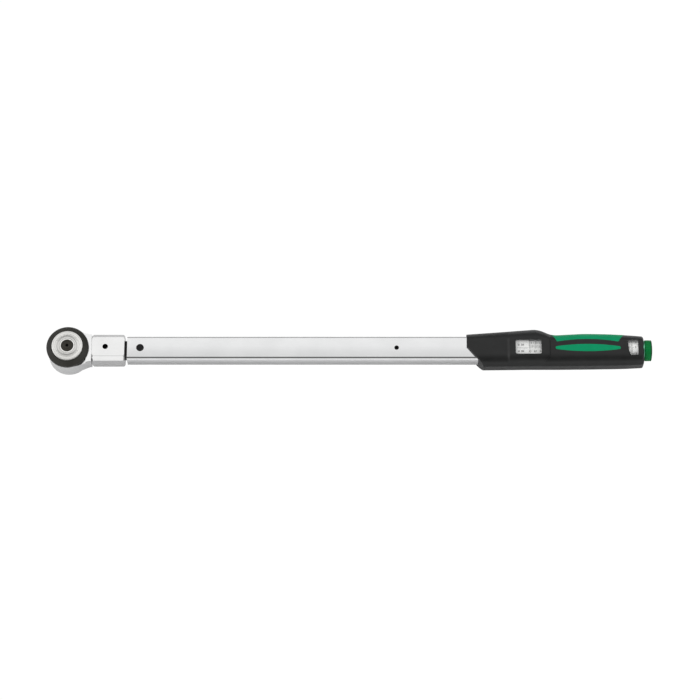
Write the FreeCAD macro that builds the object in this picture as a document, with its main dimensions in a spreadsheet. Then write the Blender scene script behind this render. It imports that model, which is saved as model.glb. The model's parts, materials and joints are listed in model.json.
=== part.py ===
import FreeCAD, Part
import math
import os
import Sketcher
from FreeCAD import Placement, Rotation, Vector

# Click torque wrench with a reversible ratchet insert, in millimetres.
# The origin is on the drive axis, in the plane of the shoulder that the drive square grows from.
# +X runs along the tube to the setting knob, and +Z is the side with the two scale windows.
# Heights are given from the centre plane of the tube, which lies centre_height above the origin.

DIMENSIONS = [
    ("centre_height", 18.5, "centre plane of the tube above the origin"),
    ("running_gap", 0.05, "radial gap of a turning or sliding fit"),
    # ratchet insert
    ("body_radius", 22.3, "ratchet body"),
    ("body_bottom", -17.4, "underside of the ratchet body"),
    ("body_top", 8.4, "top of the ratchet body, under the reversing ring"),
    ("body_rounding", 2.2, "rounding of the lower edge of the ratchet body"),
    ("gear_room_radius", 15.6, "bore that holds the gear and the skirt of the ring"),
    ("gear_room_floor", -12, "floor of that bore"),
    ("shoulder_start", 17, "start of the neck between ratchet body and shoulder"),
    ("shoulder_end", 25.8, "face of the shoulder that meets the fixture"),
    ("shoulder_width", 31, "shoulder across"),
    ("shoulder_height", 20, "shoulder top to bottom"),
    ("shank_end", 52, "end of the insert's shank"),
    ("shank_width", 18, "insert shank across"),
    ("shank_height", 14, "insert shank top to bottom"),
    ("shank_edge", 0.8, "chamfer of the shank's edges"),
    ("pawl_room_radius", 21.8, "outer wall of the pocket for the pawl"),
    ("pawl_room_angle", 58, "width of that pocket in degrees"),
    ("gear_teeth", 60, "teeth on the ratchet gear"),
    ("gear_radius", 15.2, "gear over its tooth tips"),
    ("gear_root_radius", 14.2, "gear at its tooth roots"),
    ("gear_bottom", -11.8, "underside of the gear"),
    ("gear_top", 2, "top of the gear"),
    ("collar_radius", 11.95, "collar of the drive anvil in the ratchet body"),
    ("collar_foot_radius", 11.2, "foot of the collar, which carries the circlip"),
    ("clip_room_radius", 14, "recess for the circlip"),
    ("clip_bottom", -17.2, "underside of the circlip"),
    ("clip_top", -16, "top of the circlip"),
    ("clip_radius", 13.4, "circlip outside"),
    ("clip_opening", 3, "half of the opening in the circlip"),
    ("drive_square", 12.7, "drive square across its flats"),
    ("square_length", 15.5, "length of the drive square"),
    ("square_edge", 1.2, "chamfer of the drive square's edges"),
    ("spigot_radius", 8.4, "spigot that carries the face disc"),
    ("spigot_top", 13.8, "top of the spigot and underside of the face disc"),
    ("disc_radius", 16.9, "face disc"),
    ("disc_top", 16.8, "top of the face disc"),
    ("disc_edge", 0.5, "chamfer of the face disc"),
    ("button_radius", 6.4, "quick-release button"),
    ("button_top", 17.3, "top of the button at rest"),
    ("button_bottom", 12.2, "underside of the button's head at rest"),
    ("button_room_floor", 6.5, "floor of the button's bore"),
    ("stem_radius", 2.3, "stem of the button"),
    ("stem_bottom", -28, "lower end of the stem at rest"),
    ("stem_room_bottom", -31.6, "lower end of the stem's bore"),
    ("ball_height", -26.3, "height of the lock ball"),
    ("ball_radius", 2.2, "lock ball"),
    ("ball_reach", 4.7, "centre of the lock ball from the drive axis at rest"),
    ("groove_radius", 0.95, "thinnest part of the stem, which the ball drops onto"),
    ("groove_ramp", 3, "height of the cone that pushes the ball out"),
    ("groove_top", -20.6, "top of the stem's groove"),
    ("ring_radius", 22.8, "reversing ring over its grip"),
    ("ring_bottom", 8.6, "underside of the reversing ring"),
    ("ring_grip_top", 12.6, "top of the ring's straight grip"),
    ("ring_top", 16, "top of the ring's cone"),
    ("ring_lip_radius", 17.7, "ring at the top of its cone"),
    ("ring_recess_radius", 17.2, "recess in the ring for the face disc"),
    ("ring_web_bottom", 10.6, "underside of the ring's web"),
    ("ring_web_top", 13.6, "top of the ring's web"),
    ("skirt_radius", 15.53, "skirt of the ring in the ratchet body"),
    ("skirt_bore", 13, "inside of that skirt"),
    ("skirt_bottom", 2.5, "lower edge of that skirt"),
    ("peg_radius", 1.5, "peg that shifts the pawl"),
    ("peg_reach", 18.2, "peg from the drive axis"),
    ("peg_angle", -20, "place of the peg at rest in degrees"),
    ("peg_bottom", 2.3, "lower end of the peg"),
    ("pawl_pivot", 18.8, "pawl pin from the drive axis"),
    ("pawl_pin_radius", 1.5, "pawl pin"),
    ("pawl_tilt", 6, "pawl tilt either way in degrees"),
    ("pawl_root_radius", 15.35, "pawl between its teeth"),
    ("pawl_tip_radius", 14.55, "pawl at its tooth tips"),
    ("pawl_top", 1.8, "top of the pawl"),
    # head lever and the fixture for inserts
    ("block_start", 26.6, "front face of the fixture block"),
    ("block_end", 62, "rear face of the fixture block"),
    ("block_width", 30, "fixture block across"),
    ("block_height", 27.4, "fixture block top to bottom"),
    ("block_chamfer", 4.15, "chamfer along the fixture block"),
    ("block_corner_radius", 16, "end faces of the fixture block at their turned corners"),
    ("socket_width", 18.2, "rectangular socket across"),
    ("socket_height", 14.2, "rectangular socket top to bottom"),
    ("socket_depth", 28, "depth of the socket"),
    ("lock_pin_place", 41.2, "insert lock pin from the drive axis"),
    ("lock_pin_radius", 2.9, "insert lock pin"),
    ("lock_pin_bottom", 1.5, "lower end of the lock pin at rest"),
    ("lock_pin_top", 10.5, "top of the lock pin at rest"),
    ("lock_spring_floor", -5.5, "floor of the lock pin's bore"),
    ("neck_width", 17, "neck of the head lever across"),
    ("neck_height", 14.4, "neck of the head lever top to bottom"),
    ("neck_end", 92, "end of the neck"),
    ("lever_end", 190, "end of the head lever"),
    ("lever_near", -1, "side of the lever that the bending bar lies on"),
    ("lever_far", 7, "other side of the lever's tail"),
    ("pivot_place", 78.8, "head lever's pivot from the drive axis"),
    ("pivot_radius", 4.2, "pivot pin"),
    ("pivot_length", 20.4, "pivot pin end to end"),
    ("bush_radius", 5.5, "bush round the pivot pin"),
    ("bar_thickness", 4, "bending bar"),
    ("bar_height", 13, "bending bar top to bottom"),
    ("bar_start", 93, "front end of the bending bar"),
    ("bar_end", 296, "rear end of the bending bar"),
    ("bar_screw_first", 101, "first screw of the bending bar"),
    ("bar_screw_step", 12, "distance between its screws"),
    ("bar_screw_radius", 2, "screw of the bending bar"),
    ("bar_screw_depth", 6, "depth of that screw in the lever"),
    ("screw_head_radius", 3.4, "head of that screw"),
    ("screw_head_height", 2.4, "height of that head"),
    # tube and what is fixed in it
    ("tube_start", 64.7, "front end of the tube"),
    ("tube_end", 600, "rear end of the tube"),
    ("tube_width", 27, "tube across"),
    ("tube_height", 20, "tube top to bottom"),
    ("tube_wall", 2, "wall of the tube"),
    ("tube_rounding", 3, "rounding of the tube's long edges"),
    ("tube_slot_start", 447, "front end of the slot for the scale strip"),
    ("tube_slot_end", 566, "rear end of that slot"),
    ("tube_slot_width", 15.6, "width of that slot"),
    ("seal_start", 65, "front face of the neck seal"),
    ("seal_end", 68, "rear face of the neck seal"),
    ("seal_gap", 0.9, "room for the neck on each side in the seal"),
    ("cam_place", 199, "trip cam's pin from the drive axis"),
    ("cam_offset", 6, "trip cam's pin to the far side"),
    ("cam_pin_radius", 1.5, "trip cam's pin"),
    ("cam_length", 11, "trip cam along the tube"),
    ("cam_width", 7, "trip cam across"),
    ("cam_height", 12, "trip cam top to bottom"),
    ("roll_pin_place", 358.4, "roll pin from the drive axis"),
    ("roll_pin_radius", 2.5, "roll pin outside"),
    ("roll_pin_bore", 1.4, "roll pin inside"),
    ("bearing_start", 585, "front face of the rear bearing"),
    # spindle, slider and scales
    ("spindle_start", 436, "front end of the setting spindle"),
    ("spindle_end", 634, "rear end of the setting spindle"),
    ("spindle_radius", 4, "setting spindle"),
    ("flange_radius", 7, "thrust flange of the spindle"),
    ("flange_start", 580, "front face of that flange"),
    ("flange_end", 584, "rear face of that flange"),
    ("washer_radius", 7.4, "thrust washer"),
    ("washer_end", 584.8, "rear face of the thrust washer"),
    ("clip_groove_radius", 3.4, "groove for the spindle's retaining ring"),
    ("clip_groove_start", 600.4, "front face of that groove"),
    ("clip_groove_end", 601.6, "rear face of that groove"),
    ("spindle_clip_radius", 6.4, "spindle's retaining ring"),
    ("nut_start", 470, "front face of the spindle nut at rest"),
    ("nut_end", 480, "rear face of the spindle nut at rest"),
    ("nut_width", 20, "spindle nut across"),
    ("nut_height", 14, "spindle nut top to bottom"),
    ("draw_start", 324, "front end of the draw bar at rest"),
    ("draw_width", 12, "draw bar across"),
    ("draw_bottom", -7.6, "underside of the draw bar"),
    ("draw_top", -4.6, "top of the draw bar"),
    ("draw_slot_start", 331, "front end of the draw bar's slot"),
    ("draw_slot_end", 386, "rear end of that slot"),
    ("draw_slot_width", 5.4, "width of that slot"),
    ("slider_start", 250, "front face of the support slider at rest"),
    ("slider_far", 11.3, "far side of the support slider"),
    ("slider_near", -0.4, "near side of the support slider"),
    ("slider_height", 15.4, "support slider top to bottom"),
    ("roller_place", 262, "support roller from the drive axis"),
    ("roller_radius", 3.96, "support roller"),
    ("roller_height", 12.4, "support roller top to bottom"),
    ("roller_pin_radius", 1.5, "pin of the support roller"),
    ("strip_start", 472, "front end of the scale strip at rest"),
    ("strip_end", 541, "rear end of the scale strip at rest"),
    ("strip_width", 15.2, "scale strip across"),
    ("strip_bottom", 8.2, "underside of the scale strip"),
    ("strip_top", 9.4, "top of the scale strip"),
    ("drum_radius", 10.8, "fine scale drum"),
    ("drum_start", 606, "front face of the fine scale drum"),
    ("drum_end", 624, "rear face of the fine scale drum"),
    ("drum_shell", 1.6, "wall of the fine scale drum"),
    # handle sleeve
    ("sleeve_start", 434.8, "front edge of the sleeve"),
    ("sleeve_corner", 452.7, "front edge of the sleeve on the near side"),
    ("sleeve_end", 627.8, "rear face of the sleeve"),
    ("sleeve_sections", 34, "sections that the sleeve is lofted through"),
    ("sleeve_rounding", 2.4, "rounding of the sleeve's rear edge"),
    ("side_top", 5.5, "upper edge of the sleeve's side wall"),
    ("side_bottom", -6, "lower edge of the sleeve's side wall"),
    ("crown_flat", 0.4, "flat share of the sleeve's top and bottom"),
    ("crown_near", 2.6, "shoulder of the crown on the near side"),
    ("crown_far", 4.4, "shoulder of the crown on the far side"),
    ("panel_start", 478.2, "front edge of the raised window panel"),
    ("panel_slope", 3.2, "sloping front of that panel"),
    ("panel_inset", 0.3, "panel's rim below the sleeve's skin"),
    ("panel_end", 526, "rear edge of the raised window panel"),
    ("panel_rise", 1.1, "height of the raised window panel"),
    ("drum_room_radius", 11.5, "round room for drum and knob in the sleeve"),
    ("window_start", 487.9, "front edge of the main window"),
    ("window_end", 516.2, "rear edge of the main window"),
    ("window_near", -8.6, "near edge of the main window"),
    ("window_far", 8, "far edge of the main window"),
    ("window_corner", 2, "corner radius of the main window"),
    ("window_divide", 502.5, "end of the fixed half of the main scale"),
    ("plate_thickness", 0.5, "fixed scale plate"),
    ("lens_bottom", 12.9, "underside of the main lens"),
    ("lens_top", 13.9, "top of the main lens"),
    ("fine_window_start", 610.2, "front edge of the fine window on the far side"),
    ("fine_window_end", 621.6, "rear edge of the fine window"),
    ("fine_window_near", -9.2, "near edge of the fine window"),
    ("fine_window_far", 8.2, "far edge of the fine window"),
    ("fine_lens_bottom", 11.6, "underside of the fine lens"),
    ("fine_lens_top", 12.4, "top of the fine lens"),
    ("inlay_depth", 0.9, "depth of the soft inlays in the sleeve"),
    ("inlay_rise", 0.15, "soft inlays above the sleeve"),
    ("inlay_start", 527.6, "front end of the inlays"),
    ("inlay_end", 606.4, "rear end of the inlays"),
    ("sleeve_screw_first", 450, "first screw of the sleeve"),
    ("sleeve_screw_second", 520, "second screw of the sleeve"),
    ("sleeve_screw_radius", 1.5, "screw of the sleeve"),
    ("sleeve_screw_seat", -11.4, "seat of that screw's head"),
    ("sleeve_screw_bottom", -13, "outer face of that screw's head"),
    ("end_ring_radius", 11, "ring at the end of the sleeve"),
    ("end_ring_bore", 8.4, "bore of that ring"),
    ("end_ring_end", 628.8, "rear face of that ring"),
    # setting knob
    ("knob_start", 629, "front face of the knob"),
    ("knob_radius", 11.2, "knob at its front"),
    ("knob_rim_radius", 11.5, "knob at its rim"),
    ("knob_cap_start", 635.2, "front face of the knob's end cap"),
    ("knob_end", 637.3, "end of the knob"),
    ("hub_start", 624.6, "front face of the knob's hub"),
    ("hub_radius", 8, "hub of the knob"),
]

# Stations along the sleeve: place along X, far side, near side and half height.
STATIONS = [
    (430, 16.4, 20.6, 13.0),
    (450, 17.9, 20.7, 13.2),
    (470, 19.4, 20.5, 13.2),
    (488, 20.8, 20.3, 13.3),
    (502, 21.9, 20.1, 13.4),
    (510, 22.4, 20.1, 13.4),
    (518, 20.3, 20.1, 13.4),
    (526.5, 16.8, 20.1, 13.4),
    (533, 15.9, 20.1, 13.4),
    (545, 16.5, 20.0, 13.5),
    (565, 17.4, 19.8, 13.6),
    (585, 17.1, 19.5, 13.5),
    (605, 16.2, 19.1, 13.2),
    (620, 15.2, 18.4, 12.8),
    (627.8, 14.4, 17.9, 12.5),
]

doc = FreeCAD.newDocument("torque_wrench")
sheet = doc.addObject("Spreadsheet::Sheet", "dims")


def write_row(row, alias, value, meaning):
    """Enter one named dimension in the sheet."""
    sheet.set(f"A{row}", alias)
    sheet.set(f"B{row}", str(value))
    sheet.set(f"C{row}", meaning)
    sheet.setAlias(f"B{row}", alias)


for row, (alias, value, meaning) in enumerate(DIMENSIONS, 1):
    write_row(row, alias, value, meaning)
station_row = len(DIMENSIONS) + 1
for number, (along, far, near, half_height) in enumerate(STATIONS, 1):
    write_row(station_row, f"station_{number}_along", along, "station of the sleeve")
    write_row(station_row + 1, f"station_{number}_far", far, "far side there")
    write_row(station_row + 2, f"station_{number}_near", near, "near side there")
    write_row(station_row + 3, f"station_{number}_half", half_height, "half height there")
    station_row += 4
doc.recompute()

DIRECTIONS = {
    "x": Vector(1, 0, 0),
    "y": Vector(0, 1, 0),
    "z": Vector(0, 0, 1),
    "-x": Vector(-1, 0, 0),
    "-y": Vector(0, -1, 0),
    "-z": Vector(0, 0, -1),
}
pieces = []


def formula(text):
    """Turn names of dimensions into references to the sheet."""
    words = str(text).replace("(", " ( ").replace(")", " ) ").split()
    return " ".join(f"dims.{word}" if word[0].isalpha() else word for word in words)


def size(text):
    """Value of a formula in the sheet's dimensions."""
    return float(sheet.evalExpression(formula(text)))


def bind(solid, prop, text):
    """Drive a property from the sheet."""
    solid.setExpression(prop, formula(text))


def locate(solid, x=0, y=0, z=0, axis="z"):
    """Turn a solid's own Z to an axis and put its start at x, y and a height from the centre plane."""
    solid.Placement = Placement(Vector(0, 0, 0), Rotation(DIRECTIONS["z"], DIRECTIONS[axis]))
    bind(solid, "Placement.Base.x", x)
    bind(solid, "Placement.Base.y", y)
    bind(solid, "Placement.Base.z", f"centre_height + ({z})")


def keep(solid, label):
    """List a finished piece under its file name."""
    solid.Label = label
    pieces.append(solid)
    return solid


def cylinder(name, radius, start, end, x=0, y=0, z=0, axis="z"):
    """Cylinder from start to end along its axis."""
    solid = doc.addObject("Part::Cylinder", name)
    bind(solid, "Radius", radius)
    bind(solid, "Height", f"({end}) - ({start})")
    place = {"x": x, "y": y, "z": z}
    place[axis] = start
    locate(solid, place["x"], place["y"], place["z"], axis)
    return solid


def box(name, x_range, y_range, z_range):
    """Box between two values on each axis."""
    solid = doc.addObject("Part::Box", name)
    for prop, (start, end) in zip(("Length", "Width", "Height"), (x_range, y_range, z_range)):
        bind(solid, prop, f"({end}) - ({start})")
    locate(solid, x_range[0], y_range[0], z_range[0])
    return solid


def cut(name, base, *tools):
    """Take one or more tools away from a base."""
    tool = tools[0]
    if len(tools) > 1:
        tool = fuse(f"{name}_tools", *tools)
    solid = doc.addObject("Part::Cut", name)
    solid.Base = base
    solid.Tool = tool
    return solid


def fuse(name, *solids):
    """Join solids into one."""
    solid = doc.addObject("Part::MultiFuse", name)
    solid.Shapes = list(solids)
    return solid


def common(name, first, second):
    """What two solids share."""
    solid = doc.addObject("Part::MultiCommon", name)
    solid.Shapes = [first, second]
    return solid


def origin_plane(body, role):
    """One of a body's own origin planes."""
    return next(item for item in body.Origin.OriginFeatures if item.Role == role)


def polygon_sketch(body, name, role, corners):
    """Closed polygon on an origin plane, each corner driven from the sheet."""
    sketch = body.newObject("Sketcher::SketchObject", name)
    sketch.AttachmentSupport = [(origin_plane(body, role), "")]
    sketch.MapMode = "FlatFace"
    places = [Vector(size(across), size(up), 0) for across, up in corners]
    count = len(corners)
    for index in range(count):
        line = Part.LineSegment(places[index], places[(index + 1) % count])
        sketch.addGeometry(line, False)
    for index in range(count):
        following = (index + 1) % count
        sketch.addConstraint(Sketcher.Constraint("Coincident", index, 2, following, 1))
    for index, (across, up) in enumerate(corners):
        for kind, text, value in (
            ("DistanceX", across, places[index].x),
            ("DistanceY", up, places[index].y),
        ):
            rule = sketch.addConstraint(Sketcher.Constraint(kind, -1, 1, index, 1, value))
            if value:
                sketch.setExpression(f"Constraints[{rule}]", formula(text))
    return sketch


def pad(body, name, sketch, start, end):
    """Pad a sketch between two distances from its plane."""
    bind(sketch, "AttachmentOffset.Base.z", start)
    feature = body.newObject("PartDesign::Pad", name)
    feature.Profile = sketch
    bind(feature, "Length", f"({end}) - ({start})")
    return feature


def turned(name, profile, x=0, y=0, z=0, axis="z"):
    """Solid of revolution from corners given as radius and distance along the axis."""
    body = doc.addObject("PartDesign::Body", name)
    sketch = polygon_sketch(body, f"{name}_profile", "XZ_Plane", profile)
    feature = body.newObject("PartDesign::Revolution", f"{name}_turn")
    feature.Profile = sketch
    feature.ReferenceAxis = (sketch, ["V_Axis"])
    feature.Angle = 360
    locate(body, x, y, z, axis)
    return body


def upright(name, outline, start, end):
    """Prism with an outline in X and Y between two heights."""
    body = doc.addObject("PartDesign::Body", name)
    sketch = polygon_sketch(body, f"{name}_outline", "XY_Plane", outline)
    pad(body, f"{name}_pad", sketch, start, end)
    locate(body)
    return body


def lengthwise(name, outline, start, end):
    """Prism with an outline in Y and Z between two places along the tube."""
    body = doc.addObject("PartDesign::Body", name)
    sketch = polygon_sketch(body, f"{name}_outline", "YZ_Plane", outline)
    pad(body, f"{name}_pad", sketch, start, end)
    locate(body)
    return body


def rectangle(width, height):
    """Corners of a rectangle round the origin."""
    half_width = f"({width}) / 2"
    half_height = f"({height}) / 2"
    return [
        (f"0 - {half_width}", f"0 - {half_height}"),
        (half_width, f"0 - {half_height}"),
        (half_width, half_height),
        (f"0 - {half_width}", half_height),
    ]


def dress(body, kind, amount, chosen):
    """Fillet or chamfer the edges of a body's tip that a test picks."""
    doc.recompute()
    base = body.Tip
    names = [f"Edge{n}" for n, edge in enumerate(base.Shape.Edges, 1) if chosen(edge)]
    feature = body.newObject(f"PartDesign::{kind}", f"{body.Name}_{kind.lower()}")
    feature.Base = (base, names)
    bind(feature, "Radius" if kind == "Fillet" else "Size", amount)
    return feature


def runs_along(direction):
    """Test for straight edges that run along a direction."""
    def test(edge):
        if edge.Curve.TypeId != "Part::GeomLine":
            return False
        return abs(edge.Curve.Direction.dot(direction)) > 0.999
    return test


def freeform(label, shape):
    """Keep a shape made from curves as an object on the centre plane."""
    solid = doc.addObject("Part::Feature", f"{label}_form")
    solid.Shape = shape
    locate(solid)
    return solid


def wire(points):
    """Closed polygon through points."""
    return Part.makePolygon(points + [points[0]])


def prism(points, low, high):
    """Solid over a flat outline in X and Y."""
    base = [Vector(x, y, low) for x, y in points]
    return Part.Face(wire(base)).extrude(Vector(0, 0, high - low))


# Ratchet body: round head, tapered neck, shoulder and shank, in one forging.
head = turned("head_round", [
    (0, "body_bottom"),
    ("body_radius", "body_bottom"),
    ("body_radius", "body_top"),
    (0, "body_top"),
])
dress(head, "Fillet", "body_rounding", lambda edge: edge.BoundBox.ZMax < size("body_bottom") + 0.1)
neck = upright("head_neck", [
    ("shoulder_start - 12", "0 - body_radius + 0.55"),
    ("shoulder_start - 5", "0 - body_radius + 1.9"),
    ("shoulder_end - 2.4", "0 - shoulder_width / 2"),
    ("shoulder_end", "0 - shoulder_width / 2"),
    ("shoulder_end", "shoulder_width / 2"),
    ("shoulder_end - 2.4", "shoulder_width / 2"),
    ("shoulder_start - 5", "body_radius - 1.9"),
    ("shoulder_start - 12", "body_radius - 0.55"),
], "0 - shoulder_height / 2", "body_top")
shoulder = upright("head_shoulder", [
    ("shoulder_start + 3", "0 - shoulder_width / 2 - 1.3"),
    ("shoulder_end - 2.4", "0 - shoulder_width / 2"),
    ("shoulder_end", "0 - shoulder_width / 2"),
    ("shoulder_end", "shoulder_width / 2"),
    ("shoulder_end - 2.4", "shoulder_width / 2"),
    ("shoulder_start + 3", "shoulder_width / 2 + 1.3"),
], "0 - shoulder_height / 2", "shoulder_height / 2")
shoulder_face = cut(
    "shoulder_face",
    shoulder,
    cylinder("ring_clearance", "ring_radius + 0.4", "body_top", "shoulder_height"),
)
shank = lengthwise(
    "insert_shank",
    rectangle("shank_width", "shank_height"),
    "shoulder_end - 1",
    "shank_end",
)
dress(shank, "Chamfer", "shank_edge", runs_along(DIRECTIONS["x"]))
ratchet_blank = fuse("ratchet_blank", head, neck, shoulder_face, shank)
gear_room = cylinder("gear_room", "gear_room_radius", "gear_room_floor", "body_top + 1")
collar_room = cylinder(
    "collar_room", "collar_radius + running_gap", "body_bottom - 1", "gear_room_floor + 1")
clip_room = cylinder("clip_room", "clip_room_radius", "body_bottom - 1", "clip_top")
pawl_room = cylinder("pawl_room", "pawl_room_radius", "gear_room_floor", "body_top + 1")
pawl_room.setExpression("Angle", formula("pawl_room_angle"))
pawl_room.Placement = Placement(
    pawl_room.Placement.Base,
    Rotation(DIRECTIONS["z"], 0 - size("pawl_room_angle") / 2),
)
bind(pawl_room, "Placement.Base.z", "centre_height + gear_room_floor")
pawl_pin_room = cylinder(
    "pawl_pin_room", "pawl_pin_radius", "gear_room_floor - 3", "gear_room_floor", "pawl_pivot")
lock_pin_room = cylinder(
    "lock_pin_room",
    "lock_pin_radius + running_gap",
    "lock_spring_floor",
    "shank_height / 2 + 1",
    "lock_pin_place",
)
ratchet_body = cut(
    "ratchet_body", ratchet_blank,
    gear_room, collar_room, clip_room, pawl_room, pawl_pin_room, lock_pin_room,
)
keep(ratchet_body, "ratchet_body")
pawl_pin = cylinder(
    "pawl_pin", "pawl_pin_radius", "gear_room_floor - 3", "gear_top + 0.2", "pawl_pivot")
keep(pawl_pin, "pawl_pin")

# Drive anvil: gear, collar and spigot turned in one piece, with the drive square below.
anvil = turned("anvil_turned", [
    (0, "0 - centre_height"),
    ("collar_foot_radius", "0 - centre_height"),
    ("collar_foot_radius", "clip_top"),
    ("collar_radius", "clip_top"),
    ("collar_radius", "gear_bottom"),
    ("gear_radius", "gear_bottom"),
    ("gear_radius", "gear_top"),
    ("spigot_radius", "gear_top"),
    ("spigot_radius", "spigot_top"),
    (0, "spigot_top"),
])
tooth_gap = polygon_sketch(anvil, "tooth_gap", "XY_Plane", [
    ("gear_root_radius", 0),
    ("gear_radius + 0.3", "1.04"),
    ("gear_radius + 0.3", "0 - 1.04"),
])
bind(tooth_gap, "AttachmentOffset.Base.z", "gear_bottom")
tooth_pocket = anvil.newObject("PartDesign::Pocket", "tooth_pocket")
tooth_pocket.Profile = tooth_gap
tooth_pocket.Reversed = True
bind(tooth_pocket, "Length", "gear_top - gear_bottom")
tooth_ring = anvil.newObject("PartDesign::PolarPattern", "tooth_ring")
tooth_ring.Originals = [tooth_pocket]
tooth_ring.Axis = (tooth_gap, ["N_Axis"])
tooth_ring.Angle = 360
tooth_ring.setExpression("Occurrences", formula("gear_teeth"))
anvil.Tip = tooth_ring
square = upright(
    "drive_square_bar",
    rectangle("drive_square", "drive_square"),
    "0 - centre_height - square_length",
    "1 - centre_height",
)
dress(square, "Chamfer", "square_edge", runs_along(DIRECTIONS["z"]))
anvil_blank = fuse("anvil_blank", anvil, square)
button_room = cylinder(
    "button_room", "button_radius + 0.1", "button_room_floor", "spigot_top + 1")
stem_room = cylinder(
    "stem_room", "stem_radius + 0.1", "stem_room_bottom", "button_room_floor + 1")
ball_room = cylinder(
    "ball_room", "ball_radius + running_gap", "0", "drive_square", z="ball_height", axis="y")
ball_room.Placement = Placement(Vector(0, 0, 0), Rotation(DIRECTIONS["z"], DIRECTIONS["-y"]))
bind(ball_room, "Placement.Base.z", "centre_height + ball_height")
drive_anvil = cut("drive_anvil", anvil_blank, button_room, stem_room, ball_room)
keep(drive_anvil, "drive_anvil")
face_disc = turned("face_disc", [
    ("button_radius + running_gap", "spigot_top"),
    ("disc_radius", "spigot_top"),
    ("disc_radius", "disc_top - disc_edge"),
    ("disc_radius - disc_edge", "disc_top"),
    ("button_radius + running_gap", "disc_top"),
])
keep(face_disc, "face_disc")
clip_ring = turned("clip_ring", [
    ("collar_foot_radius", "clip_bottom"),
    ("clip_radius", "clip_bottom"),
    ("clip_radius", "clip_top"),
    ("collar_foot_radius", "clip_top"),
])
clip_gap = box(
    "clip_gap",
    ("0 - clip_radius - 1", "0"),
    ("0 - clip_opening", "clip_opening"),
    ("clip_bottom - 1", "clip_top + 1"),
)
keep(cut("anvil_circlip", clip_ring, clip_gap), "anvil_circlip")

# Quick-release button with its grooved stem, and the ball that it lets go.
button = turned("release_button", [
    (0, "stem_bottom"),
    ("stem_radius", "stem_bottom"),
    ("stem_radius", "ball_height"),
    ("groove_radius", "ball_height + groove_ramp"),
    ("groove_radius", "groove_top - 1"),
    ("stem_radius", "groove_top"),
    ("stem_radius", "button_bottom"),
    ("button_radius", "button_bottom"),
    ("button_radius", "button_top - 0.5"),
    ("button_radius - 0.5", "button_top"),
    (1.6, "button_top"),
    (1.1, "button_top - 0.6"),
    (0, "button_top - 0.6"),
])
keep(button, "quick_release_button")
lock_ball = doc.addObject("Part::Sphere", "lock_ball")
bind(lock_ball, "Radius", "ball_radius")
locate(lock_ball, 0, "0 - ball_reach", "ball_height")
keep(lock_ball, "lock_ball")


def coil_spring(label, radius, wire_radius, bottom, top, turns, x=0):
    """Compression spring of eight-sided wire round an upright axis, between two seats."""
    length = size(top) - size(bottom) - 2 * wire_radius
    foot = Vector(size(x), 0, size(bottom) + wire_radius)
    helix = Part.makeHelix(length / turns, length, radius)
    helix.translate(foot)
    start = foot + Vector(radius, 0, 0)
    corners = []
    for n in range(8):
        angle = math.radians(45 * n)
        corners.append(
            start + Vector(wire_radius * math.cos(angle), 0, wire_radius * math.sin(angle)))
    solid = Part.Wire(helix.Edges).makePipeShell([wire(corners)], True, True)
    return keep(freeform(label, solid), label)


coil_spring("button_spring", 4.2, 0.35, "button_room_floor", "button_bottom", 4)

# Reversing ring: gripped rim, cone, web over the spigot and skirt in the ratchet body.
ring = turned("ring_turned", [
    ("spigot_radius + 0.1", "ring_web_bottom"),
    ("skirt_bore", "ring_web_bottom"),
    ("skirt_bore", "skirt_bottom"),
    ("skirt_radius", "skirt_bottom"),
    ("skirt_radius", "ring_bottom"),
    ("ring_radius - 0.5", "ring_bottom"),
    ("ring_radius", "ring_bottom + 0.5"),
    ("ring_radius", "ring_grip_top"),
    ("ring_lip_radius", "ring_top"),
    ("ring_recess_radius", "ring_top"),
    ("ring_recess_radius", "ring_web_top"),
    ("spigot_radius + 0.1", "ring_web_top"),
])
peg_x = size("peg_reach") * math.cos(math.radians(size("peg_angle")))
peg_y = size("peg_reach") * math.sin(math.radians(size("peg_angle")))
peg_room = cylinder(
    "peg_room", "peg_radius", "ring_bottom - 1", "ring_grip_top - 1", peg_x, peg_y)
keep(cut("reversing_ring", ring, peg_room), "reversing_ring")
shift_peg = cylinder(
    "shift_peg", "peg_radius", "peg_bottom", "ring_grip_top - 1", peg_x, peg_y)
keep(shift_peg, "shift_peg")


def turn_about(point, centre, degrees):
    """Turn a point in the plane about a centre."""
    angle = math.radians(degrees)
    dx = point[0] - centre[0]
    dy = point[1] - centre[1]
    return (
        centre[0] + dx * math.cos(angle) - dy * math.sin(angle),
        centre[1] + dx * math.sin(angle) + dy * math.cos(angle),
    )


def polar(radius, degrees, offset=0):
    """Point at a radius and angle, moved sideways by an offset."""
    angle = math.radians(degrees)
    return (
        radius * math.cos(angle) - offset * math.sin(angle),
        radius * math.sin(angle) + offset * math.cos(angle),
    )


# Pawl: a rocker with two teeth at each end. One arm is laid out in mesh with the gear,
# turned back to the middle position and mirrored. The pair is then tilted into mesh.
root_radius = size("pawl_root_radius")
tip_radius = size("pawl_tip_radius")
pitch = 360 / size("gear_teeth")
meshed_arm = [polar(root_radius, 13)]
for tooth in (3, 4):
    meshed_arm.append(polar(root_radius, tooth * pitch, -0.6))
    meshed_arm.append(polar(tip_radius, tooth * pitch, -0.05))
    meshed_arm.append(polar(tip_radius, tooth * pitch, 0.05))
    meshed_arm.append(polar(root_radius, tooth * pitch, 0.6))
meshed_arm.append(polar(root_radius, 26.6))
pivot = (size("pawl_pivot"), 0)
arm = [turn_about(point, pivot, -size("pawl_tilt")) for point in meshed_arm]
arm = [(size("pawl_pivot") - 3, 1.8)] + arm
arm = arm + [(size("pawl_pivot") + 0.4, 7.3), (size("pawl_pivot") + 2.2, 3)]
mirrored = [(x, -y) for x, y in reversed(arm)]
outline = [turn_about(point, pivot, size("pawl_tilt")) for point in arm + mirrored]
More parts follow.
